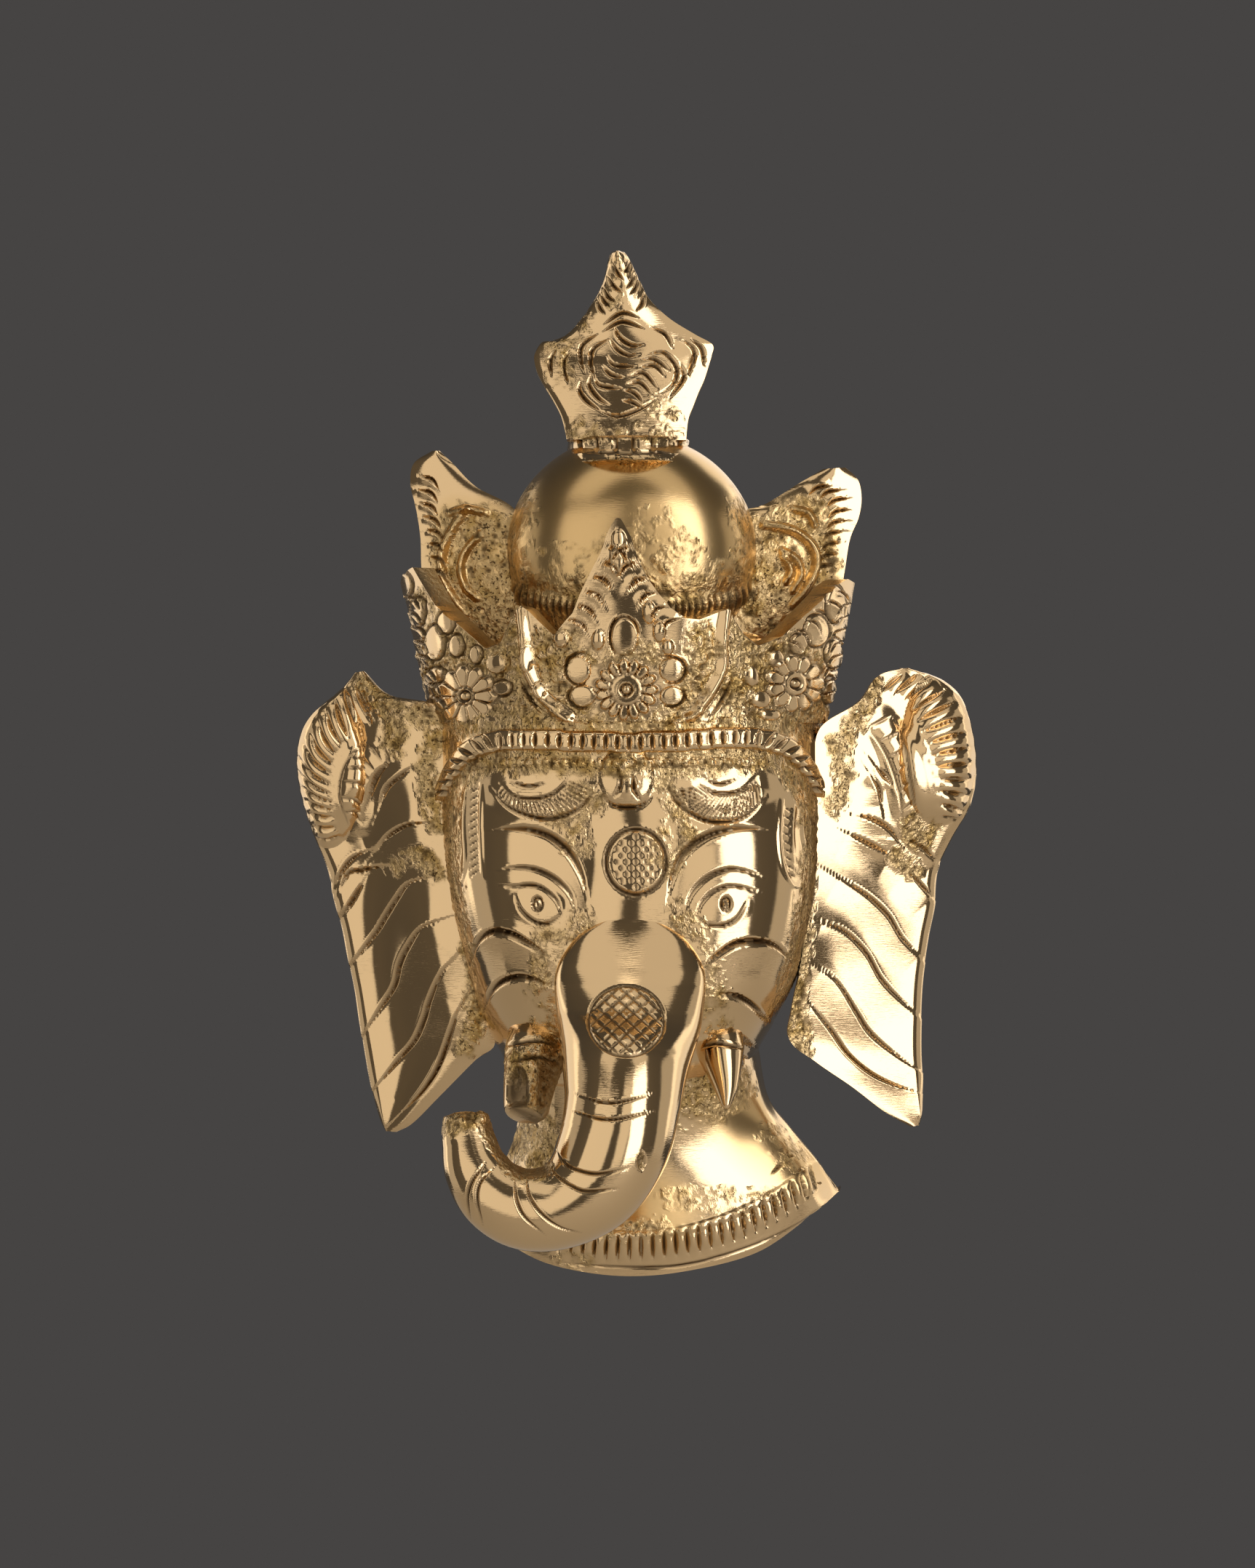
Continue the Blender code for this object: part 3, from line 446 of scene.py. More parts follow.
def head_section(z, shrink, inset, columns):
    """One level of the head, from the wall round the front to the wall."""
    left, right, front, power = [np.interp(z, HEAD_SHAPE[:, 0], HEAD_SHAPE[:, k]) for k in (1, 2, 3, 4)]
    turn = np.linspace(0.0, np.pi, 1201)
    cosine = np.cos(turn)
    x = (0.5 * (left + right) - (0.5 * (right - left) - inset) * shrink
         * np.sign(cosine) * np.abs(cosine) ** (2.0 / power))
    y = -(front - inset) * shrink * np.sin(turn) ** (2.0 / power)
    y[0] = y[-1] = 0.0
    weight = np.where(y < -0.55 * front, 1.0, FLANK_SHARE)
    step = np.hypot(np.diff(x), np.diff(y)) * 0.5 * (weight[1:] + weight[:-1])
    run = np.concatenate([[0.0], np.cumsum(step)])
    places = np.linspace(0.0, run[-1], columns)
    return np.stack([np.interp(places, run, x), np.interp(places, run, y), np.full(columns, z)], axis=1)


def head_levels():
    """Heights of the rows, with how far each is drawn in to close the crown and the jaw."""
    top = [(HEAD_TOP + 3.5 * (1.0 - t), 0.45 + 0.55 * math.sin(0.5 * math.pi * t))
           for t in np.linspace(0.0, 0.95, CLOSING_ROWS)]
    body = [(z, 1.0) for z in np.linspace(HEAD_TOP, HEAD_FOOT, BODY_ROWS)]
    jaw = [(HEAD_FOOT - 2.5 * t, 1.0 - 0.5 * t * t) for t in np.linspace(0.15, 1.0, JAW_ROWS)]
    return top + body + jaw


levels = head_levels()
head = Skin(np.stack([head_section(z, shrink, 0.0, HEAD_COLUMNS) for z, shrink in levels]))
head_back = np.stack([head_section(z, shrink, WALL, HEAD_COLUMNS) for z, shrink in levels])
head_back[..., 2] = np.clip(head_back[..., 2], HOLLOW_FOOT, HOLLOW_TOP)
print("the head's grid has", head.points.shape[0] * head.points.shape[1], "points")

# %% [markdown]
# ## The face
# The face is a mirror with a keel down its middle, so the two cheeks look to the two lamps and
# only the keel shows a dark stripe. Over it lie a bud, a round mark filled with small diamonds,
# a fringed swag over each eye, long tapering brows, lids and almond eyes, and folds that run
# from the flanks in towards the trunk. All of it is drawn where it is seen on the sheet.

# %% Face relief
KEEL = [(862, 1075), (872, 1130), (874, 1185), (870, 1230), (868, 1290)]
ridge(head, [KEEL], 120, 0.85, power=0.15)
boss(head, 861, 1068, 38, 42, 1.3)
boss(head, 861, 1052, 12, 46, 0.5)
BUD_LINES = [[(850, 1062), (853, 1080), (843, 1097)], [(871, 1064), (872, 1086), (882, 1103)],
             [(828, 1096), (840, 1106), (861, 1110), (882, 1107), (897, 1095)]]
cut(head, BUD_LINES, 7, 0.6)

MARK = (874, 1185)
DOT_ACROSS, DOT_DOWN = 13.0, 8.5
DOT_REACH, DOT_DEPTH = 3.6, 0.22
boss(head, *MARK, 46, 49, 0.5, power=0.25)
cut(head, [oval(*MARK, 42, 45)], 8, 0.6, power=0.0)
ridge(head, [oval(*MARK, 36, 39)], 5, 0.12, power=0.0)
for row in range(-4, 5):
    for column in range(-4, 5):
        across = MARK[0] + DOT_ACROSS * (column + 0.5 * (row % 2))
        down = MARK[1] + DOT_DOWN * row
        if ((across - MARK[0]) / 32.0) ** 2 + ((down - MARK[1]) / 35.0) ** 2 < 1.0:
            at, off, _, _ = near_line(head, [(across, down - 1.5), (across, down + 1.5)], DOT_REACH)
            head.cuts[at] = np.maximum(head.cuts[at], DOT_DEPTH * (1.0 - off / DOT_REACH))
            head.dirt[at] = np.maximum(head.dirt[at], 0.9 * (1.0 - off / DOT_REACH))

# Swags: left one first, lower and upper curve
SWAGS = [([(675, 1083), (696, 1107), (723, 1120), (758, 1126), (792, 1114), (813, 1093), (823, 1076)],
          [(688, 1077), (706, 1094), (734, 1098), (758, 1092), (775, 1078), (784, 1065)]),
         ([(913, 1079), (930, 1103), (951, 1120), (975, 1129), (1006, 1129), (1033, 1117), (1054, 1093)],
          [(957, 1078), (978, 1089), (999, 1091), (1019, 1086), (1036, 1072), (1043, 1062)])]
for lower, upper in SWAGS:
    ridge(head, [midway(curve(lower, 7), curve(upper, 7))], 54, 0.7, power=0.3)
    cut(head, [lower], 8, 0.7)
    cut(head, [upper], 7, 0.6)
    cut(head, between(lower, upper, 26)[2:-2], 3.6, 0.35, power=0.2, dark=0.8)
cut(head, [[(700, 1074), (725, 1081), (752, 1076)], [(968, 1072), (990, 1078), (1016, 1070)]], 6, 0.5)

# Brows, lids and eyes
BROWS = [[(668, 1143), (699, 1139), (730, 1141), (758, 1151), (782, 1172), (799, 1203), (808, 1238)],
         [(1064, 1143), (1033, 1139), (999, 1141), (968, 1151), (940, 1172), (926, 1200), (916, 1241)]]
fold(head, BROWS[:1], 34, 0.25, -1.0)
fold(head, BROWS[1:], 34, 0.25, 1.0)
cut(head, BROWS, 14, 0.85, power=0.8)
LIDS = [[(680, 1198), (709, 1193), (737, 1196), (765, 1210), (784, 1231), (792, 1256)],
        [(1054, 1208), (1026, 1198), (999, 1196), (971, 1207), (951, 1227), (940, 1255)]]
cut(head, LIDS, 9, 0.6, power=0.7)
EYES = [[(684, 1217), (706, 1219), (727, 1217), (747, 1222), (765, 1238), (773, 1258)],
        [(708, 1231), (716, 1251), (734, 1267), (754, 1270), (773, 1258)],
        [(1047, 1227), (1019, 1220), (999, 1219), (978, 1227), (964, 1241), (956, 1260)],
        [(956, 1260), (971, 1271), (992, 1273), (1013, 1263), (1028, 1238)]]
boss(head, 738, 1244, 38, 27, 0.2)
boss(head, 996, 1245, 38, 27, 0.08)
cut(head, EYES, 7, 0.5, power=0.5)
for across in (739, 998):
    cut(head, [oval(across, 1243, 6, 9, 12)], 5, 0.5, power=0.0)
    cut(head, [[(across - 1, 1240), (across + 1, 1247)]], 5, 0.35, power=0.0)

# Folds from the flanks to the trunk, and the sleeves over the tusks
FOLDS = [[(646, 1330), (655, 1298), (674, 1282), (700, 1284), (726, 1297), (756, 1317)],
         [(664, 1392), (674, 1366), (689, 1351), (711, 1344), (733, 1347), (755, 1356)],
         [(694, 1451), (707, 1436), (726, 1429), (760, 1430)],
         [(964, 1332), (988, 1312), (1014, 1297), (1044, 1295), (1070, 1303), (1092, 1327)],
         [(983, 1369), (1007, 1369), (1029, 1379), (1057, 1403)],
         [(974, 1425), (1000, 1421), (1018, 1427), (1040, 1440)],
         [(1000, 1451), (1018, 1455), (1031, 1464)]]
fold(head, FOLDS, 40, 0.55)
cut(head, FOLDS, 11, 0.9, power=0.6)

# Ribbons at the temples
RIBBON_EDGES = [[(640, 1085), (637, 1130), (639, 1180), (634, 1215)],
                [(662, 1078), (661, 1120), (662, 1165), (664, 1205)],
                [(1075, 1100), (1071, 1150), (1076, 1190), (1088, 1215), (1100, 1218)],
                [(1092, 1103), (1088, 1140), (1090, 1170)], [(1103, 1105), (1104, 1150), (1112, 1190)]]
RIBBON_NICKS = (between([(646, 1090), (643, 1140), (645, 1205)], [(659, 1082), (658, 1130), (660, 1195)], 12)
                + between([(1078, 1110), (1076, 1150), (1082, 1200)],
                          [(1090, 1116), (1087, 1156), (1094, 1206)], 9))
ridge(head, RIBBON_EDGES, 9, 0.3)
cut(head, RIBBON_NICKS, 4, 0.3)

# Raw casting under the diadem, down the temples and beside the trunk
smear(head, [[(640, 1062), (670, 1045), (720, 1046), (800, 1050), (868, 1050), (940, 1048), (1020, 1042),
              (1065, 1046), (1100, 1075)]], 26)
smear(head, [[(620, 985), (700, 990), (868, 996), (1040, 990), (1110, 985)]], 34)
smear(head, [[(612, 1085), (608, 1150), (612, 1225), (622, 1300), (634, 1370)],
             [(1122, 1100), (1124, 1160), (1120, 1230), (1108, 1300), (1090, 1380)]], 30)
smear(head, [[(795, 1085), (815, 1100), (800, 1120)], [(905, 1075), (925, 1105), (935, 1125)],
             [(930, 1130), (950, 1145)], [(770, 1125), (790, 1140)]], 22, amount=0.7)
PITTED = [[(755, 1292), (782, 1282), (800, 1270)], [(938, 1260), (950, 1285), (962, 1310)],
          [(742, 1330), (748, 1375), (752, 1410)], [(985, 1345), (978, 1385), (985, 1415)],
          [(925, 1160), (915, 1190)], [(935, 1130), (920, 1150)], [(782, 1125), (792, 1160)]]
smear(head, PITTED, 28, amount=0.55)
for across in range(690, 1060, 12):
    boss(head, across, 1049, 5, 7, 0.5)
cast_skin(head)
shell("head_with_face", head, head_back)

# %% [markdown]
# ## The trunk
# The trunk grows out of the face over a sharp arched lip, hangs forward and curls to the left.
# It is a bar of oval rings that follow a path. The first rings are narrow and lie level, so that
# the root ends in that arch, and further down they turn square to the path. Only the front half
# of each ring is fine.

# %% Trunk form
TRUNK = [   # across, down, lift of the middle, half width, half depth
    (866, 1261, 43.4, 1.6, 0.4), (866, 1264, 43.3, 4.0, 0.8), (866, 1270, 43.2, 6.0, 1.3),
    (866, 1282, 43.2, 8.9, 2.3), (866, 1299, 43.2, 11.4, 4.0), (866, 1325, 43.6, 13.6, 6.4),
    (866, 1352, 44.4, 14.3, 8.6), (865, 1400, 46.8, 13.7, 12.2), (860, 1460, 53.6, 12.0, 12.9),
    (855, 1520, 59.4, 10.8, 11.8),
    (843, 1575, 62.0, 10.4, 11.4), (814, 1627, 63.0, 9.4, 10.4), (770, 1658, 63.6, 8.0, 9.4),
    (720, 1662, 63.6, 7.5, 8.6), (680, 1642, 63.2, 6.9, 7.8), (655, 1608, 62.4, 6.0, 6.8),
    (645, 1572, 61.4, 5.1, 5.6), (641, 1545, 60.6, 4.5, 4.8),
    (641, 1536, 60.4, 3.8, 4.0), (641, 1531, 60.2, 1.6, 1.8)]
TRUNK_ROWS, TRUNK_COLUMNS = 390, 216
TRUNK_LEVEL = (0.20, 0.45)   # shares along the path where the rings begin and end to turn
BACK_DENSITY = 0.3           # columns on the far half of a ring for each one on the near half
NEVER_LEVEL = (-2.0, -1.0)
JAW_TOP, JAW_LIFT = -101.0, 41.0


def bar_rings(stations, rows, columns, level=NEVER_LEVEL):
    """Rings of points round a path; the half towards the eye is finer."""
    track = curve(stations, rows)
    middles = spot(track[:, 0], track[:, 1], track[:, 2])
    along = np.gradient(middles, axis=0)
    along /= np.linalg.norm(along, axis=1, keepdims=True)
    side = np.cross(along, (0.0, -1.0, 0.0))
    side /= np.linalg.norm(side, axis=1, keepdims=True)
    turned = np.clip((np.linspace(0.0, 1.0, rows) - level[0]) / (level[1] - level[0]), 0.0, 1.0)[:, None]
    face = turned * np.cross(side, along) + (1.0 - turned) * np.array([0.0, -1.0, 0.0])
    face /= np.linalg.norm(face, axis=1, keepdims=True)
    dense = np.linspace(0.0, 2.0 * np.pi, 721)
    weight = np.where(np.sin(dense) > -0.25, 1.0, BACK_DENSITY)
    run = np.concatenate([[0.0], np.cumsum(0.5 * (weight[1:] + weight[:-1]))])
    turn = np.interp(np.linspace(0.0, run[-1], columns + 1)[:-1], run, dense)[None, :, None]
    return (middles[:, None, :] + side[:, None, :] * track[:, 3, None, None] * np.cos(turn)
            + face[:, None, :] * track[:, 4, None, None] * np.sin(turn))


trunk_points = bar_rings(TRUNK, TRUNK_ROWS, TRUNK_COLUMNS, TRUNK_LEVEL)
above_jaw = np.clip((trunk_points[..., 2] - JAW_TOP) / 4.0, 0.0, 1.0)
trunk_points[..., 1] = np.minimum(trunk_points[..., 1], -JAW_LIFT * above_jaw)
trunk = Skin(trunk_points)

LATTICE = (861, 1404, 53, 49)
lattice_lines = []
for step in range(-3, 4):
    offset = 0.27 * step
    run = 0.95 * math.sqrt(1.0 - offset * offset)
    for lean in (1.0, -1.0):
        ends = [(lean * (offset - turn * run) * math.sqrt(0.5), (offset + turn * run) * math.sqrt(0.5))
                for turn in (-1.0, 1.0)]
        lattice_lines.append([(LATTICE[0] + LATTICE[2] * a, LATTICE[1] + LATTICE[3] * b) for a, b in ends])
boss(trunk, *LATTICE, 0.35, power=0.3)
cut(trunk, [oval(*LATTICE[:2], LATTICE[2] - 1, LATTICE[3] - 1)], 5, 0.4, power=0.0, dark=0.8)
cut(trunk, lattice_lines, 4.4, 0.24, power=0.15, dark=0.9)
TRUNK_RINGS = [[(789, 1503), (837, 1516), (900, 1503)], [(785, 1527), (837, 1539), (903, 1527)],
               [(765, 1580), (774, 1597), (792, 1608), (822, 1614), (864, 1606)],
               [(755, 1603), (766, 1617), (785, 1630), (807, 1638), (852, 1634)],
               [(724, 1621), (728, 1645), (745, 1670), (770, 1688), (800, 1695)],
               [(708, 1622), (710, 1650), (722, 1675), (750, 1698)],
               [(680, 1605), (660, 1625), (655, 1650), (664, 1685)],
               [(668, 1597), (648, 1625), (642, 1650), (647, 1678)]]
cut(trunk, TRUNK_RINGS, 6, 0.55, power=0.6)

# A small dull plug in the front, raw skin in the trough inside the curl with painted shade laid over it in
# brown, and the ragged end
PLUG = [[(882, 1590), (882, 1604)]]
boss(trunk, 882, 1597, 6, 13, -0.7)
smear(trunk, PLUG, 9)
smear(trunk, PLUG, 7, "dirt", 0.6)
smear(trunk, [[(672, 1545), (690, 1580), (702, 1598), (722, 1608), (745, 1606)]], 20, amount=0.9)
# painted shade: the trough inside the curl is darkened brown where the curl shades itself
smear(trunk, [[(672, 1548), (687, 1578), (702, 1600), (724, 1611), (744, 1608)]], 13, "dirt", 0.6)
smear(trunk, [[(618, 1548), (640, 1540), (668, 1536)]], 20, amount=0.9)
boss(trunk, 664, 1536, 11, 9, 0.8)
boss(trunk, 636, 1541, 12, 6, 0.4)
cast_skin(trunk)
rod("trunk", trunk)

# %% [markdown]
# ## The ears
# Each ear is a thin cast plate that stands off the wall at its root and sinks to it at its outer
# edge. It is drawn like a ladder: each rung joins the outer edge to the root, and smooth rails
# run through the rungs' ends. The lobe at the top swells into a fluted shell with a scroll in it.

# %% Plates drawn as ladders
def plate_grid(rungs, rows, columns, crown, thickness, swell=None, edge_drop=0.0, bend=0.0):
    """Front and back grids of a plate between two rails. A bend makes it steeper in the middle."""
    rails = curve([outer + inner for outer, inner in rungs], rows)
    u = np.linspace(0.0, 1.0, columns)[None, :]
    across, down, lift = [rails[:, k, None] * (1.0 - u) + rails[:, k + 3, None] * u for k in (0, 1, 2)]
    lift = lift - bend * (rails[:, 5, None] - rails[:, 2, None]) * np.sin(2.0 * np.pi * u) / (2.0 * np.pi)
    lift = lift + crown * 4.0 * u * (1.0 - u) - edge_drop * np.clip(1.0 - 14.0 * u, 0.0, 1.0) ** 2
    rise = 0.0
    if swell:
        middle_across, middle_down, half_wide, half_high, most = swell
        reach = ((across - middle_across) / half_wide) ** 2 + ((down - middle_down) / half_high) ** 2
        rise = most * np.clip(1.0 - reach * reach, 0.0, 1.0)
    front = spot(across, down, lift + rise)
    back = front.copy()
    back[..., 1] = np.minimum(-(lift + 0.5 * rise) + thickness, -0.3)
    return front, back


EAR_ROWS, EAR_COLUMNS = 290, 120
EAR_THICKNESS = 5.0
EAR_EDGE_DROP = 1.2    # millimetres that the outer edge is rounded off
EAR_UNEVEN = 0.25
LEFT_SWELL = (452, 1050, 48, 115, 4.0)    # across, down, half width, half height, rise
RIGHT_SWELL = (1290, 1030, 52, 105, 4.0)
LEFT_EAR = [
    ((488, 925, 9.0), (500, 923, 9.5)), ((467, 950, 8.0), (534, 955, 12.0)),
    ((430, 980, 7.0), (596, 968, 16.0)), ((412, 1010, 6.5), (625, 1000, 18.0)),
    ((407, 1050, 6.0), (630, 1050, 18.5)),
    ((415, 1100, 6.0), (632, 1100, 18.5)), ((433, 1152, 6.0), (634, 1150, 18.5)),
    ((454, 1197, 6.0), (638, 1200, 18.5)), ((461, 1237, 6.0), (640, 1240, 18.5)),
    ((474, 1290, 6.0), (645, 1290, 18.5)), ((484, 1345, 6.0), (655, 1340, 18.0)),
    ((493, 1400, 6.0), (668, 1390, 17.5)), ((503, 1455, 6.0), (680, 1436, 16.5)),
    ((511, 1493, 6.0), (652, 1460, 14.5)), ((519, 1522, 6.0), (606, 1506, 11.5)),
    ((525, 1541, 6.0), (568, 1544, 8.5)), ((531, 1555, 6.0), (545, 1556, 6.5))]
RIGHT_EAR = [
    ((1249, 919, 9.5), (1238, 919, 9.5)), ((1290, 932, 8.0), (1205, 931, 12.0)),
    ((1318, 955, 7.0), (1180, 965, 15.0)), ((1333, 992, 6.5), (1128, 1000, 18.0)),
    ((1341, 1048, 6.0), (1118, 1050, 18.5)), ((1334, 1102, 6.0), (1116, 1100, 18.5)),
    ((1308, 1152, 6.0), (1116, 1150, 18.5)), ((1289, 1197, 6.0), (1114, 1200, 18.5)),
    ((1285, 1245, 6.0), (1112, 1245, 18.5)), ((1277, 1290, 6.0), (1106, 1290, 18.5)),
    ((1270, 1340, 6.0), (1098, 1340, 18.0)), ((1267, 1395, 6.0), (1088, 1390, 17.5)),
    ((1266, 1450, 6.0), (1085, 1430, 16.5)), ((1268, 1484, 6.0), (1122, 1461, 14.5)),
    ((1268, 1510, 6.0), (1170, 1494, 11.5)), ((1268, 1532, 6.0), (1218, 1530, 8.5)),
    ((1264, 1547, 6.0), (1252, 1549, 6.5))]
EAR_LINES = [
    [(588, 1130), (560, 1134), (535, 1148), (520, 1165)], [(508, 1168), (485, 1180), (470, 1200), (463, 1218)],
    [(530, 1190), (500, 1195), (480, 1200), (470, 1220)], [(500, 1210), (480, 1245), (467, 1262)],
    [(590, 1205), (560, 1215), (545, 1235), (530, 1260), (515, 1285), (480, 1330)],
    [(612, 1262), (580, 1275), (562, 1300), (550, 1325), (542, 1355), (520, 1390), (500, 1422)],
    [(625, 1316), (605, 1340), (590, 1375), (583, 1400), (570, 1430), (545, 1460), (515, 1497)],
    [(635, 1380), (625, 1400), (612, 1440), (600, 1470), (580, 1500), (553, 1528)],
    [(568, 1052), (545, 1070), (530, 1085), (522, 1108)], [(540, 1045), (520, 1065), (508, 1100)],
    [(1170, 1120), (1195, 1125), (1220, 1138), (1238, 1160)], [(1163, 1145), (1190, 1158), (1225, 1175)],
    [(1250, 1200), (1283, 1235)], [(1238, 1155), (1260, 1160), (1288, 1185)],
    [(1150, 1205), (1190, 1230), (1220, 1258), (1240, 1290), (1268, 1318)],
    [(1125, 1265), (1160, 1280), (1190, 1310), (1210, 1345), (1235, 1372), (1262, 1395)],
    [(1125, 1330), (1150, 1350), (1175, 1390), (1195, 1420), (1230, 1450), (1260, 1470)],
    [(1113, 1380), (1140, 1415), (1165, 1450), (1195, 1475), (1225, 1490), (1255, 1500)],
    [(1195, 1065), (1207, 1085), (1211, 1108)], [(1202, 1052), (1225, 1080)]]
LEFT_FLUTES = [
    [(487, 940), (499, 968), (512, 998)], [(474, 945), (480, 970), (490, 998)],
    [(461, 962), (468, 990), (480, 1016)], [(448, 976), (456, 1002), (470, 1028)],
    [(437, 990), (446, 1016), (463, 1040)], [(426, 1006), (438, 1032), (460, 1054)],
    [(417, 1022), (433, 1048), (459, 1068)],
    [(409, 1040), (430, 1064), (459, 1082)], [(410, 1060), (432, 1080), (459, 1094)],
    [(414, 1080), (436, 1095), (460, 1104)], [(418, 1098), (438, 1108), (460, 1114)],
    [(424, 1116), (442, 1122), (463, 1124)], [(429, 1134), (446, 1138), (466, 1136)],
    [(435, 1152), (452, 1154), (470, 1148)]]
RIGHT_FLUTES = between(
    [(1213, 950), (1240, 958), (1252, 972), (1264, 1000), (1276, 1030), (1288, 1060), (1292, 1122)],
    [(1228, 930), (1262, 926), (1300, 945), (1326, 985), (1337, 1025), (1337, 1068), (1320, 1125)],
    13, lean=0.5)
LEFT_SCROLL = [[(508, 1012), (484, 1036), (470, 1062), (467, 1095), (478, 1132)],
               [(518, 1012), (534, 1042), (520, 1070), (509, 1098), (498, 1132)]]
LEFT_STEPS = [[(494, 1024), (514, 1028), (528, 1049)], [(479, 1039), (502, 1043), (520, 1061)],
              [(469, 1058), (492, 1055), (513, 1073)], [(467, 1075), (488, 1076), (506, 1092)],
              [(467, 1098), (484, 1098), (501, 1120)], [(470, 1116), (486, 1115), (498, 1130)]]
RIGHT_SCROLL = [[(1222, 985), (1240, 1010), (1250, 1040), (1256, 1080), (1262, 1120)],
                [(1192, 1000), (1212, 1030), (1225, 1060), (1235, 1100), (1240, 1140)]]
RIGHT_STEPS = between(*RIGHT_SCROLL, 7)


def ear(name, rungs, crown, bend, swell, flutes, scroll, steps, rough):
    """One ear with its engraved strokes, fluted lobe and stepped scroll."""
    front, back = plate_grid(rungs, EAR_ROWS, EAR_COLUMNS, crown, EAR_THICKNESS, swell, EAR_EDGE_DROP, bend)
    skin = Skin(front)
    fold(skin, EAR_LINES, 46, 0.6)
    skin.height += EAR_UNEVEN * grain(skin.points, 12.0, 7.0)
    cut(skin, EAR_LINES, 7, 0.6, power=0.6, dark=0.8)
    cut(skin, flutes, 6, 0.6, power=0.5, dark=0.55)
    ridge(skin, humps(flutes), 20, 0.7, power=0.7)
    ridge(skin, [midway(*scroll)], 58, 1.4)
    cut(skin, scroll, 5, 0.3, dark=0.8)
    cut(skin, steps, 6, 0.35, dark=0.6)
    smear(skin, rough, 20)
    cast_skin(skin)
    shell(name, skin, back)


ear("ear_left", LEFT_EAR, 0.5, 0.65, LEFT_SWELL, LEFT_FLUTES, LEFT_SCROLL, LEFT_STEPS,
    [[(500, 940), (540, 975), (580, 985), (610, 990)], [(600, 1010), (585, 1060), (600, 1130)],
     [(545, 1190), (575, 1180), (600, 1200)], [(524, 975), (545, 1000), (540, 1030)],
     [(640, 1200), (648, 1300), (655, 1380), (640, 1440)]])
ear("ear_right", RIGHT_EAR, -0.3, 0.0, RIGHT_SWELL, RIGHT_FLUTES, RIGHT_SCROLL, RIGHT_STEPS,
    [[(1200, 945), (1180, 985), (1165, 1010)], [(1150, 1020), (1160, 1070), (1145, 1110)],
     [(1250, 1130), (1262, 1160), (1275, 1140)], [(1235, 1178), (1255, 1195)],
     [(1105, 1200), (1100, 1300), (1092, 1380), (1100, 1440)]])
print("both ears are made")

# %% [markdown]
# ## The topknot
# The topknot is a ball of hair, half sunk in the wall plane and hollow behind. It is fuller in
# front than a true ball and a little lower above its middle. Its rows run round an axis that
# points at the viewer, so it closes in front and ends in a flat rim behind. Its brass was only
# brushed, which spreads the lamps' reflections, and a notched cord lies round its foot.

# %% Topknot
KNOT_RADIUS, KNOT_LIFT = 24.6, 10.0
KNOT_ROWS, KNOT_COLUMNS = 110, 300
FULLNESS = 2.4         # 2 would be a true ball, more is flatter in front
KNOT_UPPER = 0.94      # height above the middle, as a share of a true ball's


def ball_rows(radius):
    """Rings of the topknot from its front pole back to the wall plane."""
    last = math.pi - math.acos(KNOT_LIFT / radius)
    polar = np.linspace(0.02, last, KNOT_ROWS)[:, None]
    turn = np.linspace(0.0, 2.0 * np.pi, KNOT_COLUMNS + 1)[None, :-1]
    up = radius * np.sin(polar) * np.sin(turn)
    fuller = np.clip(1.0 - np.sin(polar) ** FULLNESS, 0.0, 1.0) ** (1.0 / FULLNESS)
    forward = np.where(np.cos(polar) > 0.0, fuller, np.cos(polar))
    return np.stack([radius * np.sin(polar) * np.cos(turn),
                     -KNOT_LIFT - radius * forward + 0.0 * turn,
                     np.where(up > 0.0, KNOT_UPPER * up, up)], axis=-1)


knot = Skin(ball_rows(KNOT_RADIUS))
CORD = [(700, 800), (730, 812), (780, 822), (868, 830), (950, 822), (1005, 812), (1036, 800)]
CORD_FOOT = [(700, 832), (730, 840), (780, 848), (868, 852), (950, 848), (1005, 840), (1036, 832)]
ridge(knot, [midway(curve(CORD, 9), curve(CORD_FOOT, 9))], 36, 0.9, power=0.1)
cut(knot, between(CORD, CORD_FOOT, 38), 4.5, 0.6, power=0.2)
smear(knot, [CORD, CORD_FOOT], 46, amount=0.6)
smear(knot, [[(705, 690), (695, 760), (705, 800)], [(1035, 690), (1042, 760), (1032, 800)]], 40, amount=0.5)
smear(knot, [[(770, 790), (810, 795), (840, 780)], [(900, 740), (930, 780), (970, 800)]], 50, amount=0.24)
knot.satin[:] = 1.0
cast_skin(knot, 0.12)
cup("topknot", knot, ball_rows(KNOT_RADIUS - WALL))

# %% [markdown]
# ## The finial
# Above the topknot stands a flat plate with a tall point and two side points, cut with a cloud
# scroll of crescents. It sits on a short neck with a row of square beads over a plain collar.

# %% Finial plate and neck
FINIAL_LEFT = [(845, 345), (838, 352), (828, 390), (812, 420), (785, 455), (762, 468), (745, 471),
               (735, 487), (735, 500), (740, 515), (750, 533), (762, 553), (772, 574), (779, 604)]
FINIAL_RIGHT = [(852, 345), (862, 352), (880, 388), (893, 412), (920, 438), (955, 460), (979, 474),
                (978, 489), (974, 503), (968, 522), (960, 540), (953, 558), (946, 577), (943, 605)]
FINIAL_LIFTS = np.interp([down for _, down in FINIAL_LEFT], (480, 604), (13.0, 18.5))
FINIAL_RUNGS = [((*left, lift), (*right, lift))
                for left, right, lift in zip(FINIAL_LEFT, FINIAL_RIGHT, FINIAL_LIFTS)]
FINIAL_ROWS, FINIAL_COLUMNS = 202, 144
FINIAL_CROWN, FINIAL_THICKNESS, FINIAL_EDGE_DROP = 2.5, 6.0, 0.6
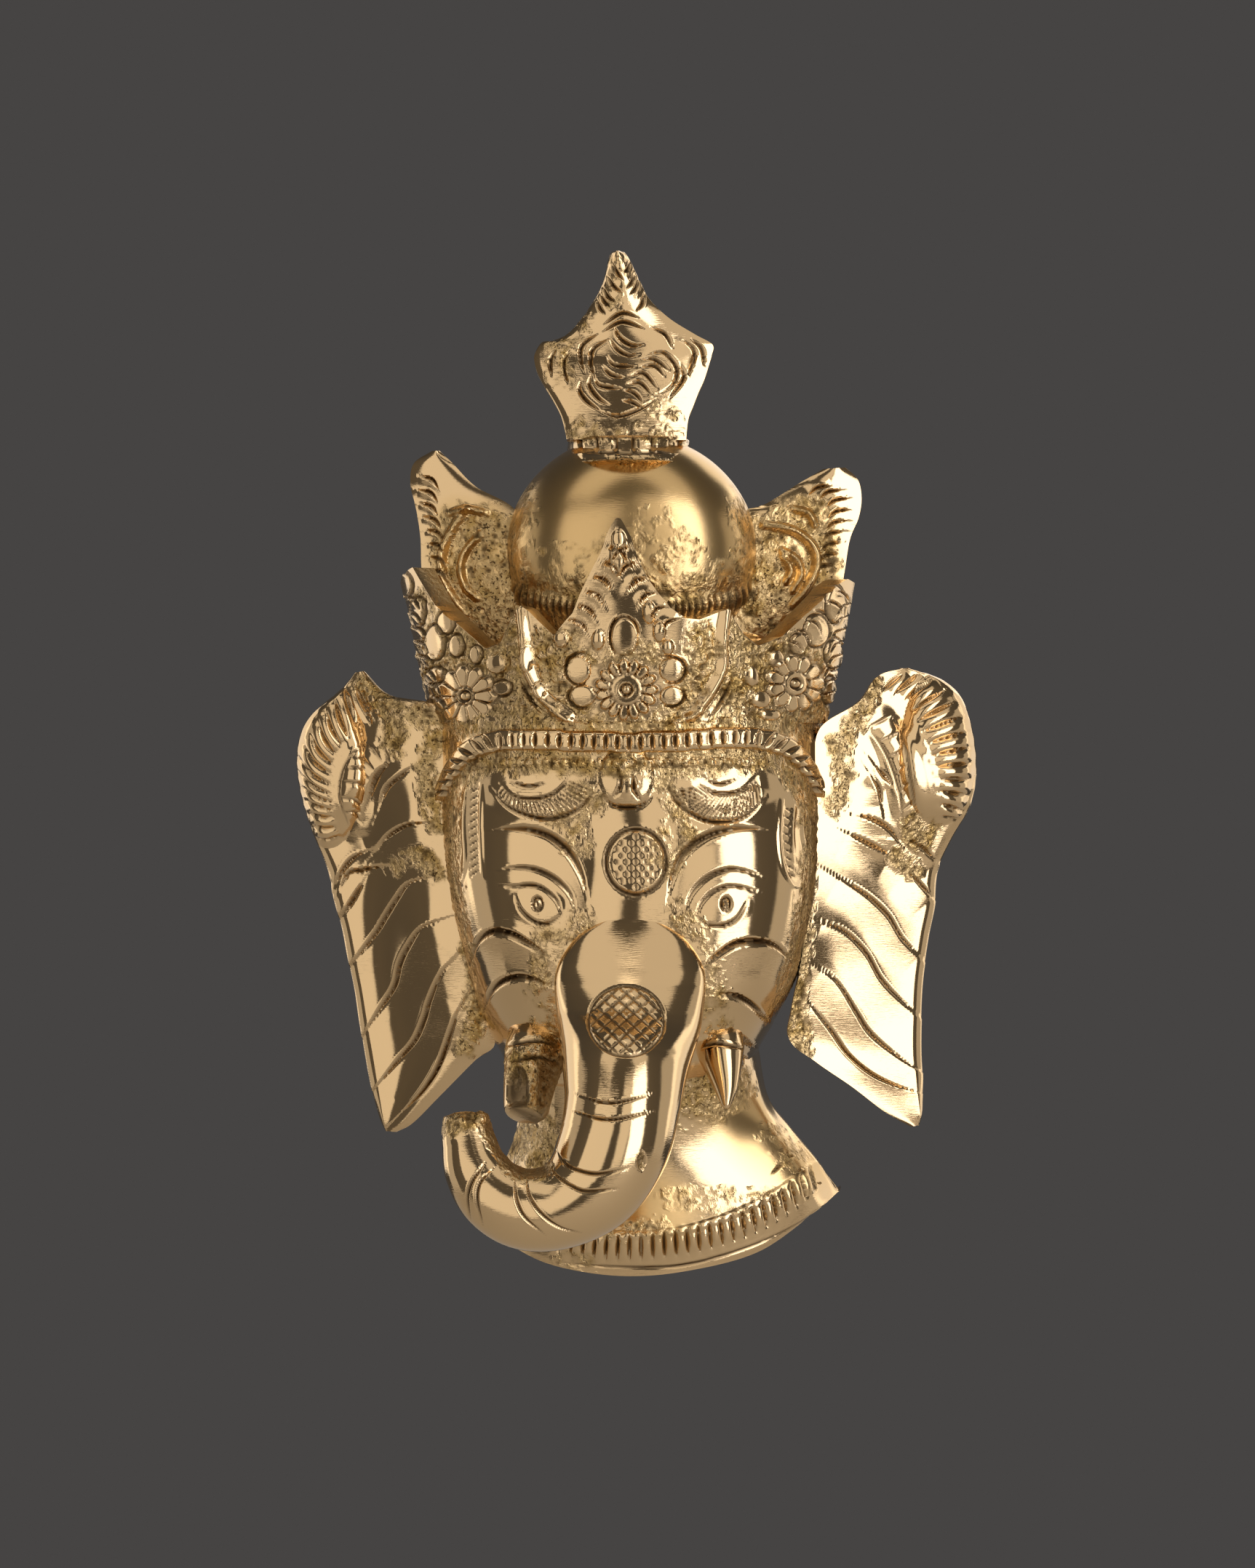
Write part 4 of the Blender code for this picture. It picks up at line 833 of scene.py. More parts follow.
SCROLL_STROKES = [
    [(830, 446), (855, 431), (878, 437)], [(829, 456), (855, 443), (885, 452)],
    [(822, 459), (800, 475), (798, 495), (803, 513)], [(836, 467), (815, 480), (812, 500), (817, 520)],
    [(785, 482), (775, 495), (776, 515), (782, 528)], [(765, 479), (756, 495), (758, 518)],
    [(799, 520), (796, 535), (805, 550), (825, 565)], [(812, 515), (810, 530), (822, 547), (838, 557)],
    [(845, 450), (852, 465), (868, 475), (885, 474)], [(838, 466), (848, 480), (862, 488), (880, 488)],
    [(834, 490), (845, 502), (876, 504)], [(828, 503), (840, 515), (858, 519)],
    [(817, 520), (825, 530), (855, 534)], [(882, 494), (900, 494), (922, 510)],
    [(880, 504), (900, 503), (915, 518)], [(890, 487), (912, 485), (930, 505), (926, 528), (908, 540)],
    [(865, 517), (885, 513), (905, 535)], [(862, 528), (880, 526), (897, 543)],
    [(857, 536), (872, 540), (884, 553)], [(856, 551), (870, 553), (884, 561)],
    [(825, 566), (850, 572), (880, 562), (903, 548)], [(895, 450), (915, 460), (925, 480)],
    [(940, 468), (955, 485), (946, 518)], [(950, 466), (965, 480), (968, 505)],
    [(935, 500), (940, 520), (920, 548)], [(841, 361), (847, 374), (857, 385)],
    [(834, 380), (843, 394), (855, 402)], [(828, 395), (835, 408), (846, 415)],
    [(824, 405), (830, 415), (838, 422)], [(820, 412), (824, 424), (832, 432)],
    [(866, 361), (864, 370), (857, 375)], [(871, 373), (870, 387), (861, 397)],
    [(878, 383), (875, 396), (866, 405)], [(886, 402), (883, 418), (874, 428)]]
finial_front, finial_back = plate_grid(FINIAL_RUNGS, FINIAL_ROWS, FINIAL_COLUMNS, FINIAL_CROWN,
                                       FINIAL_THICKNESS, edge_drop=FINIAL_EDGE_DROP)
finial = Skin(finial_front)
cut(finial, SCROLL_STROKES, 6.5, 0.6, power=0.5)
smear(finial, [[(850, 352), (856, 390), (850, 410)], [(800, 440), (780, 470)], [(900, 560), (930, 590)],
               [(765, 480), (770, 520)], [(790, 590), (860, 596), (930, 592)]], 22, amount=0.4)
cast_skin(finial)
shell("finial_plate", finial, finial_back)

NECK_LEVELS = [   # z, half width, lift of the front
    (22.9, 11.0, 15.0), (22.3, 11.6, 20.0), (21.8, 12.0, 24.8), (19.6, 12.2, 26.2), (19.2, 12.0, 26.4),
    (18.9, 12.9, 29.3), (18.5, 13.1, 30.2), (17.0, 13.3, 31.2), (16.4, 13.0, 31.0), (13.5, 12.0, 16.0)]
NECK_MIDDLE, NECK_BACK = -0.5, 4.0


def neck_rings(rows, columns):
    """Rings of the finial's neck, rounded in front and nearly flat behind."""
    track = curve(NECK_LEVELS, rows)
    turn = np.linspace(0.0, 2.0 * np.pi, columns + 1)[None, :-1]
    x = NECK_MIDDLE - track[:, 1, None] * np.cos(turn)
    front = (track[:, 2, None] - NECK_BACK) * np.abs(np.sin(turn)) ** 0.7
    y = -NECK_BACK - np.where(np.sin(turn) > 0.0, front, -2.5 * np.abs(np.sin(turn)))
    return np.stack([x, y, track[:, 0, None] + 0.0 * turn], axis=-1)


neck = Skin(neck_rings(62, 180))
NECK_CUTS = [[(x, 600), (x + 1, 620)] for x in (783, 797, 819, 845, 871, 897, 922, 934)]
cut(neck, NECK_CUTS, 6, 0.7, power=0.0)
cut(neck, [[(775, 620), (866, 622), (950, 620)]], 5, 0.5, power=0.0)
smear(neck, [[(780, 598), (866, 600), (940, 598)], [(780, 636), (866, 638), (950, 636)]], 12, amount=0.6)
cast_skin(neck)
rod("finial_neck", neck)

# %% [markdown]
# ## The wings beside the topknot
# Two cast plates rise beside the topknot. Each carries a row of leaf strokes up its outer edge
# and a raised scroll in its rough middle.

# %% Wings
WING_ROWS, WING_COLUMNS = 150, 112
WING_CROWN, WING_THICKNESS = 1.0, 5.0
LEFT_WING = [
    ((594, 620, 12.0), (604, 620, 12.5)), ((569, 637, 11.5), (622, 637, 13.5)),
    ((564, 665, 11.0), (654, 669, 14.0)), ((572, 700, 11.0), (705, 698, 15.0)),
    ((578, 740, 11.0), (725, 740, 16.0)), ((580, 790, 12.0), (735, 800, 17.0)),
    ((590, 850, 13.0), (740, 870, 18.0)), ((620, 905, 14.0), (740, 905, 18.0))]
RIGHT_WING = [
    ((1162, 643, 12.0), (1132, 645, 12.5)), ((1179, 660, 11.5), (1098, 665, 13.5)),
    ((1184, 685, 11.0), (1052, 693, 14.0)), ((1180, 712, 11.0), (1020, 705, 15.0)),
    ((1168, 742, 11.0), (1005, 740, 16.0)), ((1160, 790, 12.0), (995, 800, 17.0)),
    ((1148, 850, 13.0), (990, 870, 18.0)), ((1115, 905, 14.0), (990, 905, 18.0))]
LEFT_LEAVES = crescents([(576, 655), (575, 688), (585, 732), (590, 774), (593, 802)], 9, 26, 17)
RIGHT_LEAVES = crescents([(1142, 668), (1162, 678), (1168, 700), (1160, 734), (1150, 776)], 9, -30, 12)


def wing(name, rungs, leaves, scroll, inner, rough):
    """One wing; where it meets the topknot it stops inside the topknot's wall."""
    front, back = plate_grid(rungs, WING_ROWS, WING_COLUMNS, WING_CROWN, WING_THICKNESS)
    middle = np.array([0.0, -KNOT_LIFT, 0.0])
    for grid in (front, back):
        arm = grid - middle
        far = np.linalg.norm(arm, axis=-1, keepdims=True)
        grid[...] = middle + arm * np.maximum(far, KNOT_RADIUS - 0.5 * WALL) / far
        grid[..., 1] = np.minimum(grid[..., 1], -0.3)
    skin = Skin(front)
    cut(skin, leaves, 6.5, 0.7, power=0.6, dark=0.8)
    fold(skin, leaves, 14, 0.5)
    ridge(skin, scroll, 17, 1.7, power=0.3)
    ridge(skin, inner, 14, 1.4, power=0.3)
    smear(skin, rough, 34)
    smear(skin, rough, 44, "satin")
    buff(skin, scroll + inner, 8, 0.45)
    cast_skin(skin, 0.24)
    shell(name, skin, back)


wing("wing_left", LEFT_WING, LEFT_LEAVES,
     [[(640, 700), (622, 730), (610, 760), (610, 795), (625, 825), (640, 845)]],
     [[(660, 735), (640, 760), (634, 785), (642, 810), (655, 822)], [(618, 706), (640, 700), (668, 705)]],
     [[(630, 720), (625, 770), (650, 830)], [(670, 720), (660, 780), (680, 840)],
      [(700, 740), (700, 800), (715, 860)], [(650, 870), (680, 880)]])
wing("wing_right", RIGHT_WING, RIGHT_LEAVES,
     [[(1050, 722), (1090, 730), (1116, 752), (1120, 780), (1108, 810), (1090, 832)]],
     [[(1075, 757), (1094, 770), (1100, 790), (1090, 812)], [(1090, 700), (1110, 706), (1120, 722)],
      [(1075, 765), (1086, 785), (1080, 800)]],
     [[(1050, 740), (1062, 780), (1070, 820)], [(1085, 770), (1080, 800), (1090, 830)],
      [(1020, 730), (1035, 800), (1050, 850)], [(1085, 715), (1112, 712)], [(1120, 740), (1128, 790)]])

# %% [markdown]
# ## The tiara
# Five pointed leaves stand in one wall that wraps round the brow. Wrapped on an ellipse, the wall
# needs only a turn about the head and a height, and its top edge says how high each column goes.
# The leaves at the sides are seen nearly edge on, which is why their thick filed edges show.

# %% Tiara form
CROWN_FOOT, CROWN_FLARE_TOP = -33.6, -4.0
CROWN_SIDE, CROWN_FRONT = (40.5, 46.5), (45.5, 50.0)
LEAF_THICKNESS = 4.5
CROWN_MOST_TURN = 77.0
CROWN_ROWS, CROWN_COLUMNS = 128, 470
CLEAN_EDGE = 0.985     # share of the wall's height above which the edge is filed clean
CROWN_TOP_EDGE = [
    (548, 802), (556, 788), (567, 780), (578, 799), (598, 832), (629, 858), (652, 878),
    (668, 892), (688, 884), (702, 852), (718, 832), (738, 852), (761, 874), (776, 855),
    (787, 843), (797, 817), (811, 788), (826, 759), (833, 737), (840, 722), (847, 712),
    (853, 713), (860, 725), (867, 738), (876, 765), (890, 795), (906, 817), (922, 836),
    (942, 850), (962, 852), (985, 843),
    (1000, 836), (1010, 852), (1023, 873), (1042, 888), (1075, 875), (1102, 850),
    (1128, 827), (1148, 806), (1165, 796), (1175, 802)]


def crown_size(z):
    """Half width and depth of the tiara's wall at a height."""
    up = np.clip((z - CROWN_FOOT) / (CROWN_FLARE_TOP - CROWN_FOOT), 0.0, 1.3)
    return (CROWN_SIDE[0] + (CROWN_SIDE[1] - CROWN_SIDE[0]) * up,
            CROWN_FRONT[0] + (CROWN_FRONT[1] - CROWN_FRONT[0]) * up)


def crown_turn(across, down):
    """Turn about the head and height of the crown point seen at a place of the sheet."""
    lift = 30.0
    for _ in range(12):
        x, _, z = spot(across, down, lift)
        side, front = crown_size(z)
        share = max(-0.99, min(0.99, x / side))
        lift = 0.5 * lift + 0.5 * front * math.sqrt(1.0 - share * share)
    turn = math.degrees(math.asin(share))
    return max(-CROWN_MOST_TURN, min(CROWN_MOST_TURN, turn)), z


def crown_grid(inset):
    """Grid of the tiara's wall from its foot to its leaf edge."""
    turns, tops = [], []
    for across, down in CROWN_TOP_EDGE:
        turn, top = crown_turn(across, down)
        turns.append(max(turn, turns[-1] + 1.0) if turns else turn)
        tops.append(top)
    spread = np.linspace(turns[0], turns[-1], CROWN_COLUMNS)
    angle = np.radians(spread)[None, :]
    top = np.interp(spread, turns, tops)[None, :]
    z = CROWN_FOOT + (top - CROWN_FOOT) * np.linspace(0.0, 1.0, CROWN_ROWS)[:, None]
    side, front = crown_size(z)
    return np.stack([side * np.sin(angle) - inset * np.sin(angle),
                     -front * np.cos(angle) + inset * np.cos(angle), z], axis=-1)


tiara = Skin(crown_grid(0.0))

# %% [markdown]
# ## The tiara's leafwork
# Three leaves carry a flower each: flat petals with dark gaps, round a flat disc with a ringed
# bead. The rest is strokes and small polished lobes. The ground between them was never cleaned,
# so it is marked as raw casting first, and each raised lobe then clears its own patch, as the
# buffing wheel did.

# %% Flowers, lobes and rims
smear(tiara, [[(590, 985), (660, 1000), (740, 1003), (868, 1010), (990, 1003), (1080, 990), (1140, 970)],
              [(690, 890), (700, 920), (715, 960), (730, 985)], [(700, 860), (705, 890)],
              [(745, 880), (760, 930)], [(770, 885), (765, 940)], [(760, 955), (790, 985)],
              [(970, 880), (962, 930)], [(960, 955), (935, 985)],
              [(1012, 870), (1020, 920), (1015, 960)], [(1040, 900), (1035, 940)],
              [(640, 880), (650, 910)], [(600, 905), (610, 935)], [(1065, 895), (1058, 915)]], 34)
smear(tiara, [[(612, 850), (620, 900), (660, 930)], [(680, 895), (690, 950), (670, 985)],
              [(575, 820), (590, 860)], [(1085, 895), (1120, 905)], [(1070, 965), (1120, 965)],
              [(815, 900), (905, 900)]], 22, amount=0.7)


def lobe(skin, across, down, half_wide, half_high, rise, power=0.6):
    """Raised and polished lobe."""
    boss(skin, across, down, half_wide, half_high, rise, power)
    reach = oval_reach(skin, across, down, half_wide, half_high)
    skin.cast = np.where(skin.seen, skin.cast * np.clip(2.2 * reach - 1.2, 0.0, 1.0), skin.cast)


def flower(skin, across, down, radius, petals, rise, disc=0.5):
    """Flat petals with dark gaps round a flat disc with a ringed bead, and painted shade round the petals'
    foot.
    """
    dx = skin.across - across
    dy = skin.down - down
    far = np.hypot(dx, dy) / radius
    turn = np.arctan2(dy, dx)
    wave = np.abs(np.cos(0.5 * petals * turn))
    edge = 0.7 + 0.3 * wave ** 0.5
    body = np.clip((edge - far) / 0.10, 0.0, 1.0)
    skin.cast = np.where(skin.seen & (far < edge), 0.0, skin.cast)
    petal_top = np.where(far < disc, 1.0, 0.5 + 0.5 * np.clip(2.5 * wave, 0.0, 1.0))
    skin.height += np.where(skin.seen, rise * body * petal_top, 0.0)
    gap = np.clip(1.0 - wave / 0.3, 0.0, 1.0) * (far < edge + 0.05) * (far > disc)
    ring = np.clip(1.0 - np.abs(far - disc) / 0.07, 0.0, 1.0) * np.clip(1.6 - wave, 0.0, 1.0)
    # painted shade: a dark band round the foot of the raised petals, where no cut is made
    painted_foot_shade = np.clip(1.0 - np.abs(far - edge - 0.05) / 0.10, 0.0, 1.0)
    grooves_and_foot_shade = np.maximum(np.maximum(0.9 * gap, 0.8 * ring), 0.7 * painted_foot_shade)
    skin.dirt = np.maximum(skin.dirt, np.where(skin.seen, grooves_and_foot_shade, 0.0))
    skin.cuts = np.maximum(skin.cuts, np.where(skin.seen, 0.3 * np.maximum(gap, ring), 0.0))
    cut(skin, [oval(across, down, 0.17 * radius, 0.17 * radius, 12)], 5, 0.5, power=0.0)
    boss(skin, across, down, 0.11 * radius, 0.11 * radius, 0.3, power=0.5)


SIDE_LOBES = [(598, 884, 13, 24), (627, 888, 9, 15), (613, 856, 11, 16), (654, 900, 8, 12),
              (553, 806, 14, 18), (575, 842, 9, 20), (1122, 868, 16, 22), (1148, 832, 12, 26),
              (1098, 886, 11, 14), (1146, 900, 12, 22), (600, 928, 12, 10), (690, 946, 12, 10),
              (1140, 950, 10, 18)]
FLAT_LOBES = [(796, 921, 16, 19), (801, 957, 18, 14), (923, 921, 17, 16), (923, 957, 16, 13),
              (858, 874, 19, 27)]
ROUND_LOBES = [(684, 913, 14, 14), (906, 868, 9, 15), (918, 890, 8, 11), (772, 878, 11, 12),
               (822, 880, 9, 14), (892, 842, 9, 16), (848, 770, 10, 22), (850, 742, 10, 14),
               (1066, 905, 11, 12), (1045, 962, 14, 12), (676, 990, 15, 8), (1058, 983, 15, 8),
               (728, 905, 7, 18), (745, 948, 8, 12), (1033, 930, 9, 14)]
for across, down, half_wide, half_high in SIDE_LOBES:
    lobe(tiara, across, down, half_wide, half_high, 0.4, power=0.2)
    cut(tiara, [oval(across, down, half_wide + 1, half_high + 1)], 5, 0.3, power=0.0, dark=0.8)
for place in FLAT_LOBES:
    lobe(tiara, *place, 0.7, power=0.15)
for place in ROUND_LOBES:
    lobe(tiara, *place, 0.9, power=0.45)
cut(tiara, [[(845, 902), (839, 880), (843, 858), (857, 848), (872, 856), (879, 874)]], 6, 0.5, power=0.3)
flower(tiara, 861, 948, 44, 15, 0.8)
flower(tiara, 641, 957, 42, 11, 0.5, disc=0.3)
flower(tiara, 1092, 940, 40, 11, 0.5, disc=0.42)
INNER_RIMS = [[(716, 838), (721, 874), (724, 910), (734, 937), (751, 963), (782, 986)],
              [(998, 840), (992, 880), (992, 915), (982, 940), (966, 965), (948, 985)]]
ridge(tiara, INNER_RIMS, 20, 1.5, power=0.15)
buff(tiara, INNER_RIMS, 10, 0.25)
cut(tiara, [[(712, 930), (722, 955), (740, 975), (760, 990)], [(1008, 930), (998, 955), (978, 985)]], 7, 0.7)
ridge(tiara, [[(760, 980), (800, 996), (861, 1002), (922, 995), (962, 978)]], 14, 0.9, power=0.2)
FEATHER_EDGES = [   # edge, number of barbs, and how far each runs across and down
    ([(836, 752), (822, 780), (808, 806), (794, 830), (782, 852)], 6, 26, 20),
    ([(866, 752), (880, 782), (896, 806), (914, 830), (934, 850)], 6, -24, 18),
    ([(556, 820), (560, 850), (570, 890), (582, 930), (594, 958)], 8, 24, 18),
    ([(1170, 830), (1164, 866), (1156, 910), (1146, 950)], 8, -24, 16),
    ([(1146, 812), (1124, 834), (1100, 856), (1080, 880)], 6, 22, 20)]
FEATHERS = [barb for row in FEATHER_EDGES for barb in crescents(*row)]
cut(tiara, FEATHERS, 5.5, 0.7, power=0.6, dark=0.8)
fold(tiara, FEATHERS, 14, 0.45)
EAR_LOOPS = [[(812, 903), (798, 899), (781, 906), (777, 924), (786, 938), (800, 942), (806, 934)],
             [(786, 944), (780, 958), (790, 972), (810, 974)],
             [(906, 903), (922, 902), (939, 910), (942, 926), (932, 938), (914, 938)],
             [(936, 944), (941, 958), (930, 970), (912, 970)]]
cut(tiara, EAR_LOOPS, 5.5, 0.6, power=0.3, dark=0.9)
edge_rows = np.linspace(0.0, 1.0, CROWN_ROWS)[:, None] > CLEAN_EDGE
tiara.cast = np.where(edge_rows, 0.0, tiara.cast)
cast_skin(tiara, 0.28)
shell("tiara", tiara, crown_grid(LEAF_THICKNESS))

# %% [markdown]
# ## The diadem
# A notched cord crosses the brow under the tiara and runs down both temples. It follows the head,
# so its path is looked up on the head's own skin. Its slits are cut square across it over the
# brow and lean on the temples.

# %% Diadem
DIADEM = [(600, 1152), (597, 1128), (601, 1106), (612, 1082), (624, 1058), (640, 1037),
          (664, 1023), (700, 1018), (760, 1018), (820, 1020), (862, 1021), (905, 1020),
          (960, 1017), (1010, 1014), (1058, 1019), (1088, 1033), (1108, 1056), (1122, 1082),
          (1130, 1108), (1131, 1134)]
DIADEM_HALF = 2.15
DIADEM_RISE, DIADEM_SUNK = 1.5, 2.0
DIADEM_ROWS, DIADEM_COLUMNS, LOOKED_UP = 520, 40, 8    # every eighth row is looked up
SLITS, SLIT_HALF, SLIT_LEAN, LEVEL_HALF = 43, 13.0, 5.0, 190


def on_skin(skin, across, down):
    """The skin's point and direction seen at a place of the sheet."""
    gap = (skin.across - across) ** 2 + (skin.down - down) ** 2 + np.where(skin.seen, 0.0, 1e9)
    at = np.unravel_index(np.argmin(gap), gap.shape)
    return skin.points[at], skin.normals[at]


track = curve(DIADEM, DIADEM_ROWS)
rail = [on_skin(head, *place) for place in track[::LOOKED_UP]]
stations = np.arange(0, DIADEM_ROWS, LOOKED_UP)
path, out = [np.stack([np.interp(np.arange(DIADEM_ROWS), stations, column)
                       for column in np.array(values).T], axis=1) for values in zip(*rail)]
out /= np.linalg.norm(out, axis=1, keepdims=True)
along = np.gradient(path, axis=0)
along /= np.linalg.norm(along, axis=1, keepdims=True)
wide = np.cross(along, out)
u = np.linspace(-1.0, 1.0, DIADEM_COLUMNS)[None, :, None]
arch = np.sqrt(np.clip(1.0 - np.abs(u) ** 5, 0.0, 1.0))
diadem_front = (path[:, None] + wide[:, None] * DIADEM_HALF * u
                + out[:, None] * (DIADEM_RISE * arch - 0.5 * (1.0 - arch)))
diadem_back = path[:, None] + wide[:, None] * DIADEM_HALF * u - out[:, None] * DIADEM_SUNK
diadem = Skin(diadem_front)
for i in range(1, SLITS):
    row = int(i * (DIADEM_ROWS - 1) / SLITS)
    middle = track[row]
    ahead = track[min(DIADEM_ROWS - 1, row + 4)] - middle
    ahead /= np.linalg.norm(ahead)
    across_cord = np.array([-ahead[1], ahead[0]]) * SLIT_HALF
    side = middle[0] - 862
    lean = ahead * SLIT_LEAN * (abs(side) > LEVEL_HALF) * np.sign(side)
    slit = [tuple(middle - across_cord + lean), tuple(middle + across_cord - lean)]
    cut(diadem, [slit], 7.5, 0.8, dark=0.9)
cast_skin(diadem)
shell("diadem_cord", diadem, diadem_back)

# %% [markdown]
# ## Neck and bust
# Under the jaw the neck spreads into a small bust with a fringed rim. It is a net of points, from
# the neck down and from left to right, with one smooth surface through them.

# %% Bust
BUST = [
    [(715, 1470, 6), (742, 1460, 22), (800, 1455, 30), (870, 1455, 33), (940, 1455, 32),
     (1000, 1448, 26), (1030, 1442, 17), (1042, 1438, 6)],
    [(712, 1540, 6), (745, 1545, 20), (800, 1550, 26), (870, 1550, 28.5), (940, 1548, 27),
     (1005, 1535, 23), (1045, 1518, 16.5), (1056, 1508, 8)],
    [(692, 1600, 5), (730, 1615, 18), (800, 1628, 24.5), (870, 1632, 27), (950, 1625, 25.5),
     (1020, 1600, 22.2), (1068, 1570, 17.6), (1088, 1553, 9)],
    [(665, 1645, 4), (720, 1675, 16), (800, 1692, 25.0), (870, 1697, 28), (950, 1690, 26.5),
     (1040, 1660, 22.6), (1100, 1625, 17.6), (1128, 1602, 9)],
    [(652, 1664, 3), (710, 1702, 15), (765, 1727, 21), (850, 1741, 25), (940, 1735, 25),
     (1040, 1708, 21.4), (1115, 1665, 15), (1150, 1636, 6)],
    [(650, 1672, 2), (706, 1714, 14), (762, 1740, 20.4), (850, 1754, 24.5), (940, 1748, 24.5),
     (1042, 1721, 20.4), (1120, 1666, 13.4), (1156, 1632, 4)]]
BUST_ROWS, BUST_COLUMNS = 150, 230

across_rows = np.array([curve(row, BUST_COLUMNS) for row in BUST])
net = np.stack([curve(across_rows[:, c], BUST_ROWS) for c in range(BUST_COLUMNS)], axis=1)
bust_front = spot(net[..., 0], net[..., 1], net[..., 2])
left_wall = bust_front[:, :1] * (1.0, 0.0, 1.0)
right_wall = bust_front[:, -1:] * (1.0, 0.0, 1.0)
bust = Skin(np.concatenate([left_wall, bust_front, right_wall], axis=1))
bust_back = bust.points - bust.normals * WALL
bust_back[..., 1] = np.minimum(bust_back[..., 1], -0.2)
side_wall = 0.8 * WALL
bust_back[..., 0] = np.clip(bust_back[..., 0], bust.points[:, :1, 0] + side_wall,
                            bust.points[:, -1:, 0] - side_wall)
FRINGE = ([(700, 1658), (760, 1690), (835, 1698), (925, 1691), (1000, 1672), (1065, 1640), (1112, 1604)],
          [(700, 1688), (760, 1720), (840, 1734), (930, 1727), (1010, 1706), (1078, 1673), (1126, 1634)])
fringe_strokes = between(*FRINGE, 29, lean=-0.4)
ridge(bust, humps(fringe_strokes), 16, 0.5, power=0.7)
cut(bust, fringe_strokes, 6, 0.7, power=0.35, dark=0.75)
cut(bust, [[(1128, 1658), (1100, 1680), (1040, 1710), (960, 1735), (900, 1742), (820, 1740),
            (760, 1735)]], 6, 0.3)
ridge(bust, [[(1120, 1600), (1065, 1640), (1000, 1672), (925, 1693), (835, 1700)]], 14, 0.4)
cut(bust, [[(1060, 1615), (1070, 1605), (1078, 1596)]], 5, 0.4)
smear(bust, [[(1000, 1520), (1040, 1560), (1090, 1600)],
             [(880, 1640), (900, 1650), (915, 1665)]], 60, "satin")
smear(bust, [[(700, 1540), (740, 1580), (760, 1600)], [(930, 1480), (960, 1500), (985, 1485)]], 60)
smear(bust, [[(920, 1640), (960, 1655), (1000, 1650)], [(830, 1690), (900, 1690)],
             [(1030, 1655), (1050, 1650)], [(1060, 1560), (1090, 1590)], [(780, 1730), (800, 1738)]],
      24, amount=0.45)
cast_skin(bust)
shell("neck_and_bust", bust, bust_back)

# %% [markdown]
# ## Tusks
# Both tusks are bars with a cut ring where they leave the face. The left one is broken off, with
# a flat brown facet where it broke and raw casting round it, and its half towards the trunk below
# the ring is painted darker as the trunk's shade; the right one still has its point.

# %% Tusks
LEFT_TUSK = [(738, 1425, 30, 5.6, 5.6), (735, 1452, 34, 5.8, 5.8), (728, 1490, 38, 5.0, 5.0),
             (723, 1526, 41, 4.2, 4.2), (722, 1533, 41.6, 3.2, 3.2)]
RIGHT_TUSK = [(985, 1420, 29, 5.0, 5.0), (990, 1445, 33, 4.6, 4.6), (997, 1490, 37, 2.6, 2.6),
              (998, 1518, 39, 1.0, 1.0), (998, 1524, 39.3, 0.4, 0.4)]
TUSK_ROWS, LEFT_TUSK_COLUMNS, RIGHT_TUSK_COLUMNS = 60, 70, 60
FACET = (712, 1500, 16, 36)
left_tusk = Skin(bar_rings(LEFT_TUSK, TUSK_ROWS, LEFT_TUSK_COLUMNS))
cut(left_tusk, [[(700, 1436), (735, 1430), (765, 1436)], [(704, 1458), (735, 1452), (765, 1458)]],
    8, 0.6, power=0.2)
smear(left_tusk, [[(712, 1466), (745, 1464), (750, 1500), (738, 1520)], [(760, 1440), (762, 1500)]], 34)
boss(left_tusk, *FACET, -1.1, power=0.3)
left_tusk.dirt = np.maximum(left_tusk.dirt, 0.75 * (oval_reach(left_tusk, *FACET) < 1.0))
# painted shade: the tusk's half towards the trunk, below its ring, is darkened where the trunk shades it
left_tusk.dirt = np.maximum(left_tusk.dirt, 0.5 * (left_tusk.across > 737) * (left_tusk.down > 1452))
cast_skin(left_tusk, 0.35)
rod("tusk_left", left_tusk)
right_tusk = Skin(bar_rings(RIGHT_TUSK, TUSK_ROWS, RIGHT_TUSK_COLUMNS))
cut(right_tusk, [[(958, 1440), (985, 1434), (1020, 1440)]], 8, 0.6, power=0.2)
cast_skin(right_tusk)
rod("tusk_right", right_tusk)

# %% [markdown]
# ## The hanging bar
# Nobody sees the back of a wall mask, so a plain cast bar across the topknot's hollow is enough
# to hang it by. Its corners are rounded a little, as a pattern maker draws them.

# %% Hanging bar
BAR_WIDTH, BAR_THICKNESS, BAR_ROUND = 12.0, 4.0, 0.8
half_bar = math.sqrt(KNOT_RADIUS ** 2 - KNOT_LIFT ** 2) - WALL / 2.0
bar_mesh = bpy.data.meshes.new("hanging_bar")
corners = [(x, y, z) for x in (-half_bar, half_bar) for y in (-BAR_THICKNESS, 0.0)
           for z in (-BAR_WIDTH / 2.0, BAR_WIDTH / 2.0)]
bar_mesh.from_pydata([tuple(MM * v for v in corner) for corner in corners], [],
                     [(0, 1, 3, 2), (4, 6, 7, 5), (0, 4, 5, 1), (2, 3, 7, 6), (0, 2, 6, 4), (1, 5, 7, 3)])
bar = bpy.data.objects.new("hanging_bar", bar_mesh)
bpy.context.scene.collection.objects.link(bar)
bevel = bar.modifiers.new("rounded", "BEVEL")
bevel.width = MM * BAR_ROUND
bevel.segments = 3
PIECES.append(bar)
print(len(PIECES), "pieces so far")

# %% [markdown]
# ## Colours and a helper for nodes
# A colour picked on a screen is sRGB, and a shader wants linear light, so one function turns hex
# values into it. Another adds a node with its settings and its links in one call.

# %% Colour and node helpers
def paint(hex_value):
    """Linear colour from an sRGB hex value."""
    channels = [int(hex_value[i:i + 2], 16) / 255.0 for i in (1, 3, 5)]
    return tuple(c / 12.92 if c <= 0.04045 else ((c + 0.055) / 1.055) ** 2.4 for c in channels) + (1.0,)


